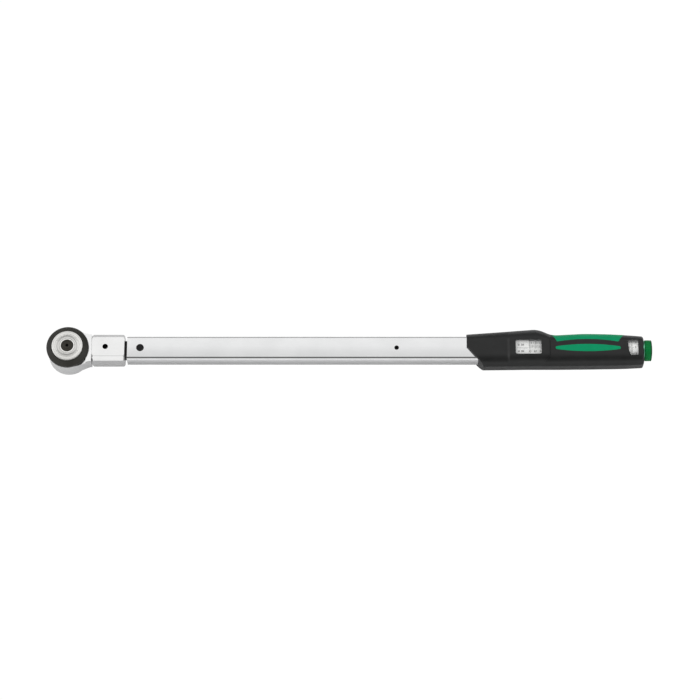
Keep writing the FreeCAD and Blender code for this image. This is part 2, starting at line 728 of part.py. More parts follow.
pawl_blank = freeform("pawl", prism(outline, size("gear_bottom"), size("pawl_top")))
pawl_bore = cylinder(
    "pawl_bore", "pawl_pin_radius + running_gap", "gear_bottom - 1", "pawl_top + 1", "pawl_pivot")
keep(cut("pawl", pawl_blank, pawl_bore), "pawl")

# Fixture block: the chamfered head of the lever, with a rectangular socket for inserts.
block_bar = lengthwise(
    "block_bar", rectangle("block_width", "block_height"), "block_start", "block_end")
dress(block_bar, "Chamfer", "block_chamfer", runs_along(DIRECTIONS["x"]))
block_turning = turned("block_turning", [
    (0, "block_start"),
    ("block_corner_radius", "block_start"),
    ("block_corner_radius + 2", "block_start + 1.6"),
    ("block_corner_radius + 2", "block_end - 1.6"),
    ("block_corner_radius", "block_end"),
    (0, "block_end"),
], axis="x")
block = common("block", block_bar, block_turning)
socket = box(
    "socket",
    ("block_start - 1", "block_start + socket_depth"),
    ("0 - socket_width / 2", "socket_width / 2"),
    ("0 - shank_height / 2", "socket_height - shank_height / 2"),
)
release_hole = cylinder(
    "release_hole", "lock_pin_radius + 0.1", "0", "block_height / 2 + 1", "lock_pin_place")
keep(cut("fixture_block", block, socket, release_hole), "fixture_block")
lock_pin = turned("lock_pin", [
    (0, "lock_pin_bottom"),
    ("lock_pin_radius", "lock_pin_bottom"),
    ("lock_pin_radius", "lock_pin_top - 0.8"),
    ("lock_pin_radius - 0.8", "lock_pin_top"),
    (0, "lock_pin_top"),
], x="lock_pin_place")
keep(lock_pin, "insert_lock_pin")
coil_spring(
    "lock_pin_spring", 1.9, 0.3, "lock_spring_floor", "lock_pin_bottom", 6, "lock_pin_place")

# Head lever: neck through the mouth of the tube, bored for the pivot, and a slim tail.
lever_blank = upright("lever_blank", [
    ("block_end", "0 - neck_width / 2"),
    ("neck_end", "0 - neck_width / 2"),
    ("neck_end", "lever_near"),
    ("lever_end", "lever_near"),
    ("lever_end", "lever_far"),
    ("neck_end + 6", "lever_far"),
    ("neck_end", "neck_width / 2"),
    ("block_end", "neck_width / 2"),
], "0 - neck_height / 2", "neck_height / 2")
bush_room = cylinder(
    "bush_room", "bush_radius", "0 - neck_height", "neck_height", "pivot_place")
screw_rooms = [
    cylinder(
        f"screw_room_{n}",
        "bar_screw_radius",
        "lever_near - 1",
        "lever_near + bar_screw_depth",
        f"bar_screw_first + {n} * bar_screw_step",
        axis="y",
    )
    for n in (0, 1)
]
keep(cut("head_lever", lever_blank, bush_room, *screw_rooms), "head_lever")
bush = turned("bush", [
    ("pivot_radius + running_gap", "0 - neck_height / 2"),
    ("bush_radius", "0 - neck_height / 2"),
    ("bush_radius", "neck_height / 2"),
    ("pivot_radius + running_gap", "neck_height / 2"),
], x="pivot_place")
keep(bush, "pivot_bush")
pin_edge = 0.4
pivot_pin = turned("pivot_pin", [
    (0, "0 - pivot_length / 2"),
    (f"pivot_radius - {pin_edge}", "0 - pivot_length / 2"),
    ("pivot_radius", f"{pin_edge} - pivot_length / 2"),
    ("pivot_radius", f"pivot_length / 2 - {pin_edge}"),
    (f"pivot_radius - {pin_edge}", "pivot_length / 2"),
    (0, "pivot_length / 2"),
], x="pivot_place")
keep(pivot_pin, "pivot_pin")

# Bending bar: the spring of the wrench, screwed to the lever and held by the support roller.
bar_blank = box(
    "bar_blank",
    ("bar_start", "bar_end"),
    ("lever_near - bar_thickness", "lever_near"),
    ("0 - bar_height / 2", "bar_height / 2"),
)
bar_holes = [
    cylinder(
        f"bar_hole_{n}",
        "bar_screw_radius",
        "lever_near - bar_thickness - 1",
        "lever_near + 1",
        f"bar_screw_first + {n} * bar_screw_step",
        axis="y",
    )
    for n in (0, 1)
]
keep(cut("bending_bar", bar_blank, *bar_holes), "bending_bar")
screws = []
for n in (0, 1):
    screw = turned(f"bar_screw_{n}", [
        (0, "0 - screw_head_height - bar_thickness"),
        ("screw_head_radius", "0 - screw_head_height - bar_thickness"),
        ("screw_head_radius", "0 - bar_thickness"),
        ("bar_screw_radius", "0 - bar_thickness"),
        ("bar_screw_radius", "bar_screw_depth"),
        (0, "bar_screw_depth"),
    ], f"bar_screw_first + {n} * bar_screw_step", "lever_near", axis="y")
    screws.append(screw)
keep(fuse("bar_screws", *screws), "bar_screws")

# Tube: rounded rectangular section, with holes for its pins and a slot for the scale strip.
tube_bar = lengthwise(
    "tube_bar", rectangle("tube_width", "tube_height"), "tube_start", "tube_end")
dress(tube_bar, "Fillet", "tube_rounding", runs_along(DIRECTIONS["x"]))
tube_bore = box(
    "tube_bore",
    ("tube_start - 1", "tube_end + 1"),
    ("tube_wall - tube_width / 2", "tube_width / 2 - tube_wall"),
    ("tube_wall - tube_height / 2", "tube_height / 2 - tube_wall"),
)
tube_slot = box(
    "tube_slot",
    ("tube_slot_start", "tube_slot_end"),
    ("0 - tube_slot_width / 2", "tube_slot_width / 2"),
    ("0", "tube_height"),
)
pivot_hole = cylinder(
    "pivot_hole", "pivot_radius", "0 - tube_height", "tube_height", "pivot_place")
roll_pin_hole = cylinder(
    "roll_pin_hole", "roll_pin_radius", "0 - tube_height", "tube_height", "roll_pin_place")
tube_screw_holes = [
    cylinder(f"tube_hole_{place}", "sleeve_screw_radius", "0 - tube_height", "0", place)
    for place in ("sleeve_screw_first", "sleeve_screw_second")
]
tube = cut("tube", tube_bar, tube_bore, tube_slot, pivot_hole, roll_pin_hole, *tube_screw_holes)
keep(tube, "tube")
seal_blank = box(
    "seal_blank",
    ("seal_start", "seal_end"),
    ("tube_wall - tube_width / 2", "tube_width / 2 - tube_wall"),
    ("tube_wall - tube_height / 2", "tube_height / 2 - tube_wall"),
)
seal_room = box(
    "seal_room",
    ("seal_start - 1", "seal_end + 1"),
    ("0 - neck_width / 2 - seal_gap", "neck_width / 2 + seal_gap"),
    ("0 - neck_height / 2 - 0.2", "neck_height / 2 + 0.2"),
)
keep(cut("neck_seal", seal_blank, seal_room), "neck_seal")
roll_pin = turned("roll_pin", [
    ("roll_pin_bore", "0 - tube_height / 2"),
    ("roll_pin_radius - 0.3", "0 - tube_height / 2"),
    ("roll_pin_radius", "0.3 - tube_height / 2"),
    ("roll_pin_radius", "tube_height / 2 - 0.3"),
    ("roll_pin_radius - 0.3", "tube_height / 2"),
    ("roll_pin_bore", "tube_height / 2"),
], x="roll_pin_place")
keep(roll_pin, "roll_pin")
cam_pin = cylinder(
    "cam_pin",
    "cam_pin_radius",
    "tube_wall - tube_height / 2",
    "tube_height / 2 - tube_wall",
    "cam_place",
    "cam_offset",
)
keep(cam_pin, "trip_cam_pin")
cam_blank = box(
    "cam_blank",
    ("cam_place - cam_length / 2", "cam_place + cam_length / 2"),
    ("cam_offset - cam_width / 2", "cam_offset + cam_width / 2"),
    ("0 - cam_height / 2", "cam_height / 2"),
)
cam_bore = cylinder(
    "cam_bore",
    "cam_pin_radius + running_gap",
    "0 - cam_height",
    "cam_height",
    "cam_place",
    "cam_offset",
)
keep(cut("trip_cam", cam_blank, cam_bore), "trip_cam")
bearing_blank = box(
    "bearing_blank",
    ("bearing_start", "tube_end"),
    ("tube_wall - tube_width / 2", "tube_width / 2 - tube_wall"),
    ("tube_wall - tube_height / 2", "tube_height / 2 - tube_wall"),
)
bearing_bore = cylinder(
    "bearing_bore", "spindle_radius + running_gap", "bearing_start - 1", "tube_end + 1", axis="x")
keep(cut("rear_bearing", bearing_blank, bearing_bore), "rear_bearing")

# Spindle with its washer, retaining ring and fine scale drum.
spindle = turned("spindle", [
    (0, "spindle_start"),
    ("spindle_radius - 0.6", "spindle_start"),
    ("spindle_radius", "spindle_start + 0.6"),
    ("spindle_radius", "flange_start"),
    ("flange_radius", "flange_start"),
    ("flange_radius", "flange_end"),
    ("spindle_radius", "flange_end"),
    ("spindle_radius", "clip_groove_start"),
    ("clip_groove_radius", "clip_groove_start"),
    ("clip_groove_radius", "clip_groove_end"),
    ("spindle_radius", "clip_groove_end"),
    ("spindle_radius", "spindle_end"),
    (0, "spindle_end"),
], axis="x")
keep(spindle, "spindle")
washer = turned("washer", [
    ("spindle_radius", "flange_end"),
    ("washer_radius", "flange_end"),
    ("washer_radius", "washer_end"),
    ("spindle_radius", "washer_end"),
], axis="x")
keep(washer, "thrust_washer")
spindle_clip = turned("spindle_clip", [
    ("clip_groove_radius", "clip_groove_start"),
    ("spindle_clip_radius", "clip_groove_start"),
    ("spindle_clip_radius", "clip_groove_end"),
    ("clip_groove_radius", "clip_groove_end"),
], axis="x")
keep(spindle_clip, "spindle_clip")
drum = turned("drum", [
    ("spindle_radius", "drum_end - 3"),
    ("drum_radius - drum_shell", "drum_end - 3"),
    ("drum_radius - drum_shell", "drum_start"),
    ("drum_radius", "drum_start"),
    ("drum_radius", "drum_end"),
    ("spindle_radius", "drum_end"),
], axis="x")
keep(drum, "fine_scale_drum")

# Nut, draw bar and support slider move along the tube together when the spindle turns.
nut_blank = box(
    "nut_blank",
    ("nut_start", "nut_end"),
    ("0 - nut_width / 2", "nut_width / 2"),
    ("0 - nut_height / 2", "nut_height / 2"),
)
nut_bore = cylinder(
    "nut_bore", "spindle_radius + running_gap", "nut_start - 1", "nut_end + 1", axis="x")
keep(cut("spindle_nut", nut_blank, nut_bore), "spindle_nut")
draw_blank = box(
    "draw_blank",
    ("draw_start", "nut_start"),
    ("0 - draw_width / 2", "draw_width / 2"),
    ("draw_bottom", "draw_top"),
)
draw_slot = box(
    "draw_slot",
    ("draw_slot_start", "draw_slot_end"),
    ("0 - draw_slot_width / 2", "draw_slot_width / 2"),
    ("draw_bottom - 1", "draw_top + 1"),
)
keep(cut("draw_bar", draw_blank, draw_slot), "draw_bar")
slider_blank = box(
    "slider_blank",
    ("slider_start", "draw_start"),
    ("slider_near", "slider_far"),
    ("0 - slider_height / 2", "slider_height / 2"),
)
roller_offset = "lever_near + roller_radius + 0.04"
roller_room = cylinder(
    "roller_room",
    "roller_radius + 0.4",
    "0 - roller_height / 2 - 0.2",
    "roller_height / 2 + 0.2",
    "roller_place",
    roller_offset,
)
roller_pin_room = cylinder(
    "roller_pin_room",
    "roller_pin_radius",
    "0 - slider_height",
    "slider_height",
    "roller_place",
    roller_offset,
)
keep(cut("support_slider", slider_blank, roller_room, roller_pin_room), "support_slider")
roller_pin = cylinder(
    "roller_pin",
    "roller_pin_radius",
    "0 - slider_height / 2",
    "slider_height / 2",
    "roller_place",
    roller_offset,
)
keep(roller_pin, "roller_pin")
roller = turned("roller", [
    ("roller_pin_radius + running_gap", "0 - roller_height / 2"),
    ("roller_radius", "0 - roller_height / 2"),
    ("roller_radius", "roller_height / 2"),
    ("roller_pin_radius + running_gap", "roller_height / 2"),
], "roller_place", roller_offset)
keep(roller, "support_roller")
strip_bar = box(
    "strip_bar",
    ("strip_start", "strip_end"),
    ("0 - strip_width / 2", "strip_width / 2"),
    ("strip_bottom", "strip_top"),
)
strip_foot = box(
    "strip_foot",
    ("strip_start", "nut_end"),
    ("0 - strip_width / 3", "strip_width / 3"),
    ("nut_height / 2", "strip_bottom + 0.5"),
)
keep(fuse("scale_strip", strip_bar, strip_foot), "scale_strip")


# Handle sleeve: lofted through evenly spaced sections, with vertical side walls and pillowed faces.
station_numbers = range(1, len(STATIONS) + 1)
station_places = [size(f"station_{n}_along") for n in station_numbers]


def limited_slopes(values):
    """Slope of a curve at each station, flat where the values turn."""
    steps = []
    for index in range(len(values) - 1):
        run = station_places[index + 1] - station_places[index]
        steps.append((values[index + 1] - values[index]) / run)
    slopes = [steps[0]]
    for before, after in zip(steps, steps[1:]):
        slopes.append(2 * before * after / (before + after) if before * after > 0 else 0)
    return slopes + [steps[-1]]


def station_curve(kind):
    """Smooth curve through one value of all stations, as a function of the place along X."""
    values = [size(f"station_{n}_{kind}") for n in station_numbers]
    slopes = limited_slopes(values)

    def value_at(along):
        index = max(n for n, place in enumerate(station_places[:-1]) if place <= along)
        run = station_places[index + 1] - station_places[index]
        t = (along - station_places[index]) / run
        return (
            values[index] * (1 + 2 * t) * (1 - t) ** 2
            + slopes[index] * run * t * (1 - t) ** 2
            + values[index + 1] * t * t * (3 - 2 * t)
            + slopes[index + 1] * run * t * t * (t - 1)
        )
    return value_at


far_side = station_curve("far")
near_side = station_curve("near")
half_height_at = station_curve("half")


def sleeve_crown(along, near, far, wall, height):
    """Pillowed top or bottom of the sleeve at one place, from wall to wall."""
    flat = size("crown_flat")
    poles = [
        [(near, wall), (near + size("crown_near"), height), (near * flat, height)],
        [(far, wall), (far - size("crown_far"), height), (far * flat, height)],
    ]
    curves = []
    for side in poles:
        curve = Part.BezierCurve()
        curve.setPoles([Vector(along, across, up) for across, up in side])
        curves.append(curve.toShape())
    middle = Part.makeLine(
        Vector(along, near * flat, height), Vector(along, far * flat, height))
    return [curves[0], middle, curves[1]]


def sleeve_section(along, outward):
    """Closed section of the sleeve at one place, moved outward by an amount."""
    far = far_side(along) + outward
    near = -near_side(along) - outward
    top = half_height_at(along) + outward
    side_top = size("side_top")
    side_bottom = size("side_bottom")
    return Part.Wire([
        Part.makeLine(Vector(along, near, side_bottom), Vector(along, near, side_top)),
        *sleeve_crown(along, near, far, side_top, top),
        Part.makeLine(Vector(along, far, side_top), Vector(along, far, side_bottom)),
        *sleeve_crown(along, near, far, side_bottom, -top),
    ])


def panel_section(along, share):
    """Section of the raised window panel, which grows out of the sleeve's crown."""
    inset = size("panel_inset")
    near = -near_side(along) + inset
    far = far_side(along) - inset
    top = half_height_at(along) - inset + share * (size("panel_rise") + inset)
    wall = size("side_top") - inset
    return Part.Wire([
        *sleeve_crown(along, near, far, wall, top),
        Part.makeLine(Vector(along, far, wall), Vector(along, far, 0)),
        Part.makeLine(Vector(along, far, 0), Vector(along, near, 0)),
        Part.makeLine(Vector(along, near, 0), Vector(along, near, wall)),
    ])


def sleeve_loft(outward):
    """Solid through even sections of the sleeve, moved outward by an amount."""
    count = int(size("sleeve_sections"))
    step = (station_places[-1] - station_places[0]) / (count - 1)
    places = [station_places[0] + n * step for n in range(count - 1)] + [station_places[-1]]
    return Part.makeLoft([sleeve_section(place, outward) for place in places], True, False)


def rounded_box(x_range, y_range, z_range, radius):
    """Box with its four upright edges rounded."""
    lengths = [end - start for start, end in (x_range, y_range, z_range)]
    corner = Vector(x_range[0], y_range[0], z_range[0])
    solid = Part.makeBox(*lengths, corner)
    chosen = [edge for edge in solid.Edges if runs_along(DIRECTIONS["z"])(edge)]
    return solid.makeFillet(radius, chosen)


sleeve_body = sleeve_loft(0)
front = size("sleeve_start")
corner = size("sleeve_corner")
slant = (corner - front) / 21
front_outline = [
    (front - 20, 30),
    (front, 30),
    (front, 1),
    (front + slant * 41, -40),
    (front - 20, -40),
]
sleeve_body = sleeve_body.cut(prism(front_outline, -30, 30))
rear_edges = [edge for edge in sleeve_body.Edges if edge.BoundBox.XMin > size("sleeve_end") - 0.01]
sleeve_body = sleeve_body.makeFillet(size("sleeve_rounding"), rear_edges)
panel_start = size("panel_start")
panel_end = size("panel_end")
panel_outline = [
    (panel_start - 1, 30),
    (panel_start - 1, -25),
    (panel_end - 8.5, -25),
    (panel_end - 8.5, -18.5),
    (panel_end + 1, -9.5),
    (panel_end + 1, 30),
]
panel_slope = size("panel_slope")
panel_steps = [
    (panel_start, 0),
    (panel_start + panel_slope, 1),
    (size("window_start") + 4, 1),
    (size("window_divide"), 1),
    (size("window_divide") + 8, 1),
    (panel_end - 7, 1),
    (panel_end - panel_slope / 3, 1),
    (panel_end, 0),
]
raised = Part.makeLoft([panel_section(*step) for step in panel_steps], True, True)
sleeve_body = sleeve_body.fuse(raised.common(prism(panel_outline, 0, 30)))

window = rounded_box(
    (size("window_start"), size("window_end")),
    (size("window_near"), size("window_far")),
    (0, 30),
    size("window_corner"),
)
fine_start = size("fine_window_start")
fine_end = size("fine_window_end")
fine_near = size("fine_window_near")
fine_far = size("fine_window_far")
fine_outline = [
    (fine_start, fine_far),
    (fine_start + 1.1, fine_near + 4.5),
    (fine_start + 2.8, fine_near),
    (fine_end, fine_near),
    (fine_end, fine_far),
]
fine_window = prism(fine_outline, 0, 30)


def arc(first, middle, last, height):
    """Flat arc through three points of an outline."""
    points = [Vector(x, y, height) for x, y in (first, middle, last)]
    return Part.Arc(*points).toShape()


def inlay_prism(edges, low, high):
    """Solid over an outline of lines and arcs."""
    face = Part.Face(Part.Wire(Part.__sortEdges__(edges)))
    return face.extrude(Vector(0, 0, high - low))


inlay_start = size("inlay_start")
inlay_end = size("inlay_end")
inlay_middle = (inlay_start + inlay_end) / 2
far_low = -25
far_edges = [
    arc((inlay_start + 5.4, 5.8), (inlay_middle, 8.7), (inlay_end - 6.7, 5.8), far_low),
    Part.makeLine(Vector(inlay_end - 6.7, 5.8, far_low), Vector(inlay_end + 4, 22, far_low)),
    Part.makeLine(Vector(inlay_end + 4, 22, far_low), Vector(inlay_start - 3.2, 22, far_low)),
    Part.makeLine(Vector(inlay_start - 3.2, 22, far_low), Vector(inlay_start + 5.4, 5.8, far_low)),
]
far_prism = inlay_prism(far_edges, far_low, 25)


def spindle_edges(height):
    """Outline of the long middle inlay, wide in its middle and narrow at its ends."""
    first = inlay_start + 4.9
    last = inlay_end - 5.4
    return [
        arc((first, -3.0), (inlay_middle, -5.5), (last, -3.0), height),
        arc((last, -3.0), (last + 1.2, -1.3), (last, 0.4), height),
        arc((last, 0.4), (inlay_middle, 2.9), (first, 0.4), height),
        arc((first, 0.4), (first - 1.2, -1.3), (first, -3.0), height),
    ]


shell = sleeve_loft(size("inlay_rise")).cut(sleeve_loft(-size("inlay_depth")))
inlay_shapes = {
    "grip_inlay_far": shell.common(far_prism),
    "grip_inlay_top": shell.common(inlay_prism(spindle_edges(0), 0, 25)),
    "grip_inlay_under": shell.common(inlay_prism(spindle_edges(far_low), far_low, 0)),
}
for shape in inlay_shapes.values():
    sleeve_body = sleeve_body.cut(shape)
sleeve_body = sleeve_body.cut(window).cut(fine_window)
sleeve_form = freeform("handle_sleeve", sleeve_body)
drum_room = cylinder(
    "drum_room", "drum_room_radius", "tube_end - 1", "sleeve_end + 5", axis="x")
screw_seats = []
for place in ("sleeve_screw_first", "sleeve_screw_second"):
    screw_seats.append(cylinder(
        f"seat_{place}", "sleeve_screw_radius * 2", "0 - tube_height", "sleeve_screw_seat", place))
    screw_seats.append(cylinder(
        f"hole_{place}", "sleeve_screw_radius", "0 - tube_height", "0", place))
tube_envelope = lengthwise(
    "tube_envelope", rectangle("tube_width", "tube_height"), "tube_start", "tube_end")
dress(tube_envelope, "Fillet", "tube_rounding", runs_along(DIRECTIONS["x"]))
handle_sleeve = cut("handle_sleeve", sleeve_form, tube_envelope, drum_room, *screw_seats)
keep(handle_sleeve, "handle_sleeve")
for label, shape in inlay_shapes.items():
    keep(cut(label, freeform(label, shape), tube_envelope), label)

plate_shape = rounded_box(
    (size("window_start"), size("window_divide")),
    (size("window_near"), size("window_far")),
    (size("tube_height") / 2, size("tube_height") / 2 + size("plate_thickness")),
    size("window_corner"),
)
front_half = Part.makeBox(60, 60, 30, Vector(size("window_divide") - 63, -30, 0))
square_half = Part.makeBox(
    3,
    size("window_far") - size("window_near"),
    size("plate_thickness"),
    Vector(size("window_divide") - 3, size("window_near"), size("tube_height") / 2),
)
scale_plate = plate_shape.common(front_half).fuse(square_half).removeSplitter()
keep(freeform("scale_plate", scale_plate), "scale_plate")
main_lens = rounded_box(
    (size("window_start"), size("window_end")),
    (size("window_near"), size("window_far")),
    (size("lens_bottom"), size("lens_top")),
    size("window_corner"),
)
keep(freeform("main_lens", main_lens), "main_lens")
fine_lens = prism(fine_outline, size("fine_lens_bottom"), size("fine_lens_top"))
keep(freeform("fine_lens", fine_lens), "fine_lens")
sleeve_screws = []
for place in ("sleeve_screw_first", "sleeve_screw_second"):
    sleeve_screws.append(turned(f"screw_{place}", [
        (0, "sleeve_screw_bottom"),
        ("sleeve_screw_radius * 2", "sleeve_screw_bottom"),
        ("sleeve_screw_radius * 2", "sleeve_screw_seat"),
        ("sleeve_screw_radius", "sleeve_screw_seat"),
        ("sleeve_screw_radius", "tube_wall - tube_height / 2"),
        (0, "tube_wall - tube_height / 2"),
    ], x=place))
keep(fuse("sleeve_screws", *sleeve_screws), "sleeve_screws")
end_ring = turned("end_ring", [
    ("end_ring_bore", "drum_end + 0.6"),
    ("drum_room_radius", "drum_end + 0.6"),
    ("drum_room_radius", "sleeve_end - 0.6"),
    ("end_ring_radius", "sleeve_end - 0.6"),
    ("end_ring_radius", "end_ring_end - 0.3"),
    ("end_ring_radius - 0.3", "end_ring_end"),
    ("end_ring_bore", "end_ring_end"),
], axis="x")
keep(end_ring, "end_ring")

# Setting knob: green shell on a hub that slides on the spindle, closed by a domed cap.
hub = turned("hub", [
    ("spindle_radius + running_gap", "hub_start"),
    ("hub_radius", "hub_start"),
    ("hub_radius", "knob_cap_start"),
    (0, "knob_cap_start"),
    (0, "spindle_end + 0.2"),
    ("spindle_radius + running_gap", "spindle_end + 0.2"),
], axis="x")
keep(hub, "knob_hub")
knob = turned("knob", [
    ("hub_radius", "knob_start"),
    ("knob_radius - 0.4", "knob_start"),
    ("knob_radius", "knob_start + 0.4"),
    ("knob_radius + 0.1", "knob_cap_start"),
    ("hub_radius", "knob_cap_start"),
], axis="x")
keep(knob, "knob")
cap = turned("cap", [
    (0, "knob_cap_start"),
    ("knob_radius + 0.1", "knob_cap_start"),
    ("knob_rim_radius", "knob_cap_start + 0.3"),
    ("knob_rim_radius - 0.1", "knob_cap_start + 0.9"),
    ("knob_rim_radius - 0.8", "knob_end - 0.7"),
    ("knob_rim_radius - 4", "knob_end - 0.2"),
    (0, "knob_end"),
], axis="x")
keep(cap, "knob_cap")

doc.recompute()
for item in doc.Objects:
    if {"Invalid", "Error"} & set(item.State):
        raise ValueError(f"{item.Name} did not build")
os.makedirs("parts", exist_ok=True)
for piece in pieces:
    shape = piece.Shape
    if shape.isNull() or not shape.isValid() or not shape.Solids:
        raise ValueError(f"{piece.Label} is not a valid solid")
    shape.exportStep(f"parts/{piece.Label}.step")
    low = shape.optimalBoundingBox(True, False)
    print(
        f"{piece.Label:22} {len(shape.Solids)} solid(s) {shape.Volume:10.1f} mm3"
        f"  x {low.XMin:.2f} {low.XMax:.2f}  y {low.YMin:.2f} {low.YMax:.2f}"
        f"  z {low.ZMin:.2f} {low.ZMax:.2f}"
    )
print(len(pieces), "pieces")
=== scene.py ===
import json
import math

import bmesh
import bpy
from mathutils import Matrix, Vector


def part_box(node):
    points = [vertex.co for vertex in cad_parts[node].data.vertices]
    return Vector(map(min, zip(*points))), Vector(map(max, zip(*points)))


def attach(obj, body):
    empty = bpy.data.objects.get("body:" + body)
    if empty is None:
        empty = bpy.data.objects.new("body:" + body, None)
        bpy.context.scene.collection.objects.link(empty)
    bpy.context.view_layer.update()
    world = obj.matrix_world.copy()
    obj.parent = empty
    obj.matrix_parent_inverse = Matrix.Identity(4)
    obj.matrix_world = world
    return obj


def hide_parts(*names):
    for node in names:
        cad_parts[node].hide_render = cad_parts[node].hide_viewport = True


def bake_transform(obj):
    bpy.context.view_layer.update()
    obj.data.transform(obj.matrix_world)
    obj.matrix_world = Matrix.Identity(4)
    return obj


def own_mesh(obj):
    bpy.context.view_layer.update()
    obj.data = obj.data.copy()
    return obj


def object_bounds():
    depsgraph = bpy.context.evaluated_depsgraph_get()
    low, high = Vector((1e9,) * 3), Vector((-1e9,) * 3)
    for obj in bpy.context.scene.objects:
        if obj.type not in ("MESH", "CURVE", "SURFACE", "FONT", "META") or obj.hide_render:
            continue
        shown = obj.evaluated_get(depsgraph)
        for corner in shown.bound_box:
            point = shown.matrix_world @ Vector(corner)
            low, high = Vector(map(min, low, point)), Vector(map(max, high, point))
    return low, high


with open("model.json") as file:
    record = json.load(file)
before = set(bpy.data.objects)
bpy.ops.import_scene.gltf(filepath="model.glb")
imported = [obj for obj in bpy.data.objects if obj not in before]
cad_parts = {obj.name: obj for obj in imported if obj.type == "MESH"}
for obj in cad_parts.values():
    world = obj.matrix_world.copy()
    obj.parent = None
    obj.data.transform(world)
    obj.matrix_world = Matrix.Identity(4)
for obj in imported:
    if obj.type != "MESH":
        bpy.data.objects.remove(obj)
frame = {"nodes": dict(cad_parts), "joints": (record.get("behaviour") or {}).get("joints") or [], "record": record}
nodes = frame["nodes"]
cad_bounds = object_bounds()
MM = 0.001
WELD = 0.001 * MM
CENTRE = frame["joints"][0]["pos_m"][2]


# ---------------------------------------------------------------- materials
def new_material(name):
    """New material, its node tree and its shader, already linked to the output."""
    material = bpy.data.materials.new(name)
    material.use_nodes = True
    tree = material.node_tree
    tree.nodes.clear()
    output = tree.nodes.new("ShaderNodeOutputMaterial")
    shader = tree.nodes.new("ShaderNodeBsdfPrincipled")
    tree.links.new(shader.outputs["BSDF"], output.inputs["Surface"])
    return material, tree, shader


def coordinates(tree, scale=(1, 1, 1)):
    """Object coordinates, stretched by a scale."""
    source = tree.nodes.new("ShaderNodeTexCoord")
    mapping = tree.nodes.new("ShaderNodeMapping")
    mapping.inputs["Scale"].default_value = scale
    tree.links.new(source.outputs["Object"], mapping.inputs["Vector"])
    return mapping.outputs["Vector"]


def noise(tree, vector, scale, detail=3.0, roughness=0.55):
    """Noise texture value."""
    node = tree.nodes.new("ShaderNodeTexNoise")
    node.inputs["Scale"].default_value = scale
    node.inputs["Detail"].default_value = detail
    node.inputs["Roughness"].default_value = roughness
    tree.links.new(vector, node.inputs["Vector"])
    return node.outputs["Fac"]


def ramp(tree, value, stops):
    """Colour ramp over a value; stops are (position, colour)."""
    node = tree.nodes.new("ShaderNodeValToRGB")
    elements = node.color_ramp.elements
    while len(elements) < len(stops):
        elements.new(0.5)
    for element, (position, colour) in zip(elements, stops):
        element.position = position
        element.color = (*colour, 1)
    tree.links.new(value, node.inputs["Fac"])
    return node.outputs["Color"]


def remap(tree, value, low, high, to_low, to_high):
    """Value moved from one range to another."""
    node = tree.nodes.new("ShaderNodeMapRange")
    for socket, number in zip(("From Min", "From Max", "To Min", "To Max"), (low, high, to_low, to_high)):
        node.inputs[socket].default_value = number
    tree.links.new(value, node.inputs["Value"])
    return node.outputs["Result"]


def bump(tree, shader, height, strength, distance):
    """Bump from a height on the shader's normal."""
    node = tree.nodes.new("ShaderNodeBump")
    node.inputs["Strength"].default_value = strength
    node.inputs["Distance"].default_value = distance
    tree.links.new(height, node.inputs["Height"])
    tree.links.new(node.outputs["Normal"], shader.inputs["Normal"])


def metal(
    name, dark, light, rough, grain=(1, 1, 1), grain_scale=900, grain_bump=0.02,
    across=(), outwards=(),
):
    """Metal with a directional grain, cloudy tone and uneven polish; the across and outwards stops multiply its
    colour by greys, which paint in shade and highlights where they are given.
    """
    material, tree, shader = new_material(name)
    shader.inputs["Metallic"].default_value = 1.0
    cloud = noise(tree, coordinates(tree), 35, 4)
    fine = noise(tree, coordinates(tree, grain), grain_scale, 2)
    colour = ramp(tree, cloud, [(0.3, dark), (0.7, light)])
    for axis, stops in across:
        colour = tone_across(tree, colour, axis, stops)
    if outwards:
        colour = tone_outwards(tree, colour, outwards)
    tree.links.new(colour, shader.inputs["Base Color"])
    tree.links.new(remap(tree, fine, 0.3, 0.7, *rough), shader.inputs["Roughness"])
    bump(tree, shader, fine, grain_bump, 0.0002)
    return material


def plastic(name, dark, light, rough, grain_size, grain_bump, shine):
    """Moulded plastic with a fine spark-eroded grain and slight wear in its tone."""
    material, tree, shader = new_material(name)
    vector = coordinates(tree)
    cloud = noise(tree, vector, 60, 4)
    tree.links.new(ramp(tree, cloud, [(0.3, dark), (0.7, light)]), shader.inputs["Base Color"])
    grain = noise(tree, vector, 1 / grain_size, 2, 0.6)
    patch = noise(tree, vector, 180, 3)
    tree.links.new(remap(tree, patch, 0.3, 0.7, *rough), shader.inputs["Roughness"])
    bump(tree, shader, grain, grain_bump, 0.00012)
    shader.inputs["Specular IOR Level"].default_value = shine
    return material


def toned(tree, colour, value, stops):
    """Colour multiplied by a grey that changes with a value; stops are (value, grey)."""
    low, high = stops[0][0], stops[-1][0]
    place = remap(tree, value, low, high, 0.0, 1.0)
    greys = ramp(tree, place, [((at - low) / (high - low), (tone,) * 3) for at, tone in stops])
    mix = tree.nodes.new("ShaderNodeMix")
    mix.data_type = "RGBA"
    mix.blend_type = "MULTIPLY"
    mix.inputs["Factor"].default_value = 1.0
    tree.links.new(colour, mix.inputs["A"])
    tree.links.new(greys, mix.inputs["B"])
    return mix.outputs["Result"]


def tone_across(tree, colour, axis, stops):
    """Colour multiplied by a grey that changes along one axis of the object."""
    source = tree.nodes.new("ShaderNodeTexCoord")
    split = tree.nodes.new("ShaderNodeSeparateXYZ")
    tree.links.new(source.outputs["Object"], split.inputs["Vector"])
    return toned(tree, colour, split.outputs[axis], stops)


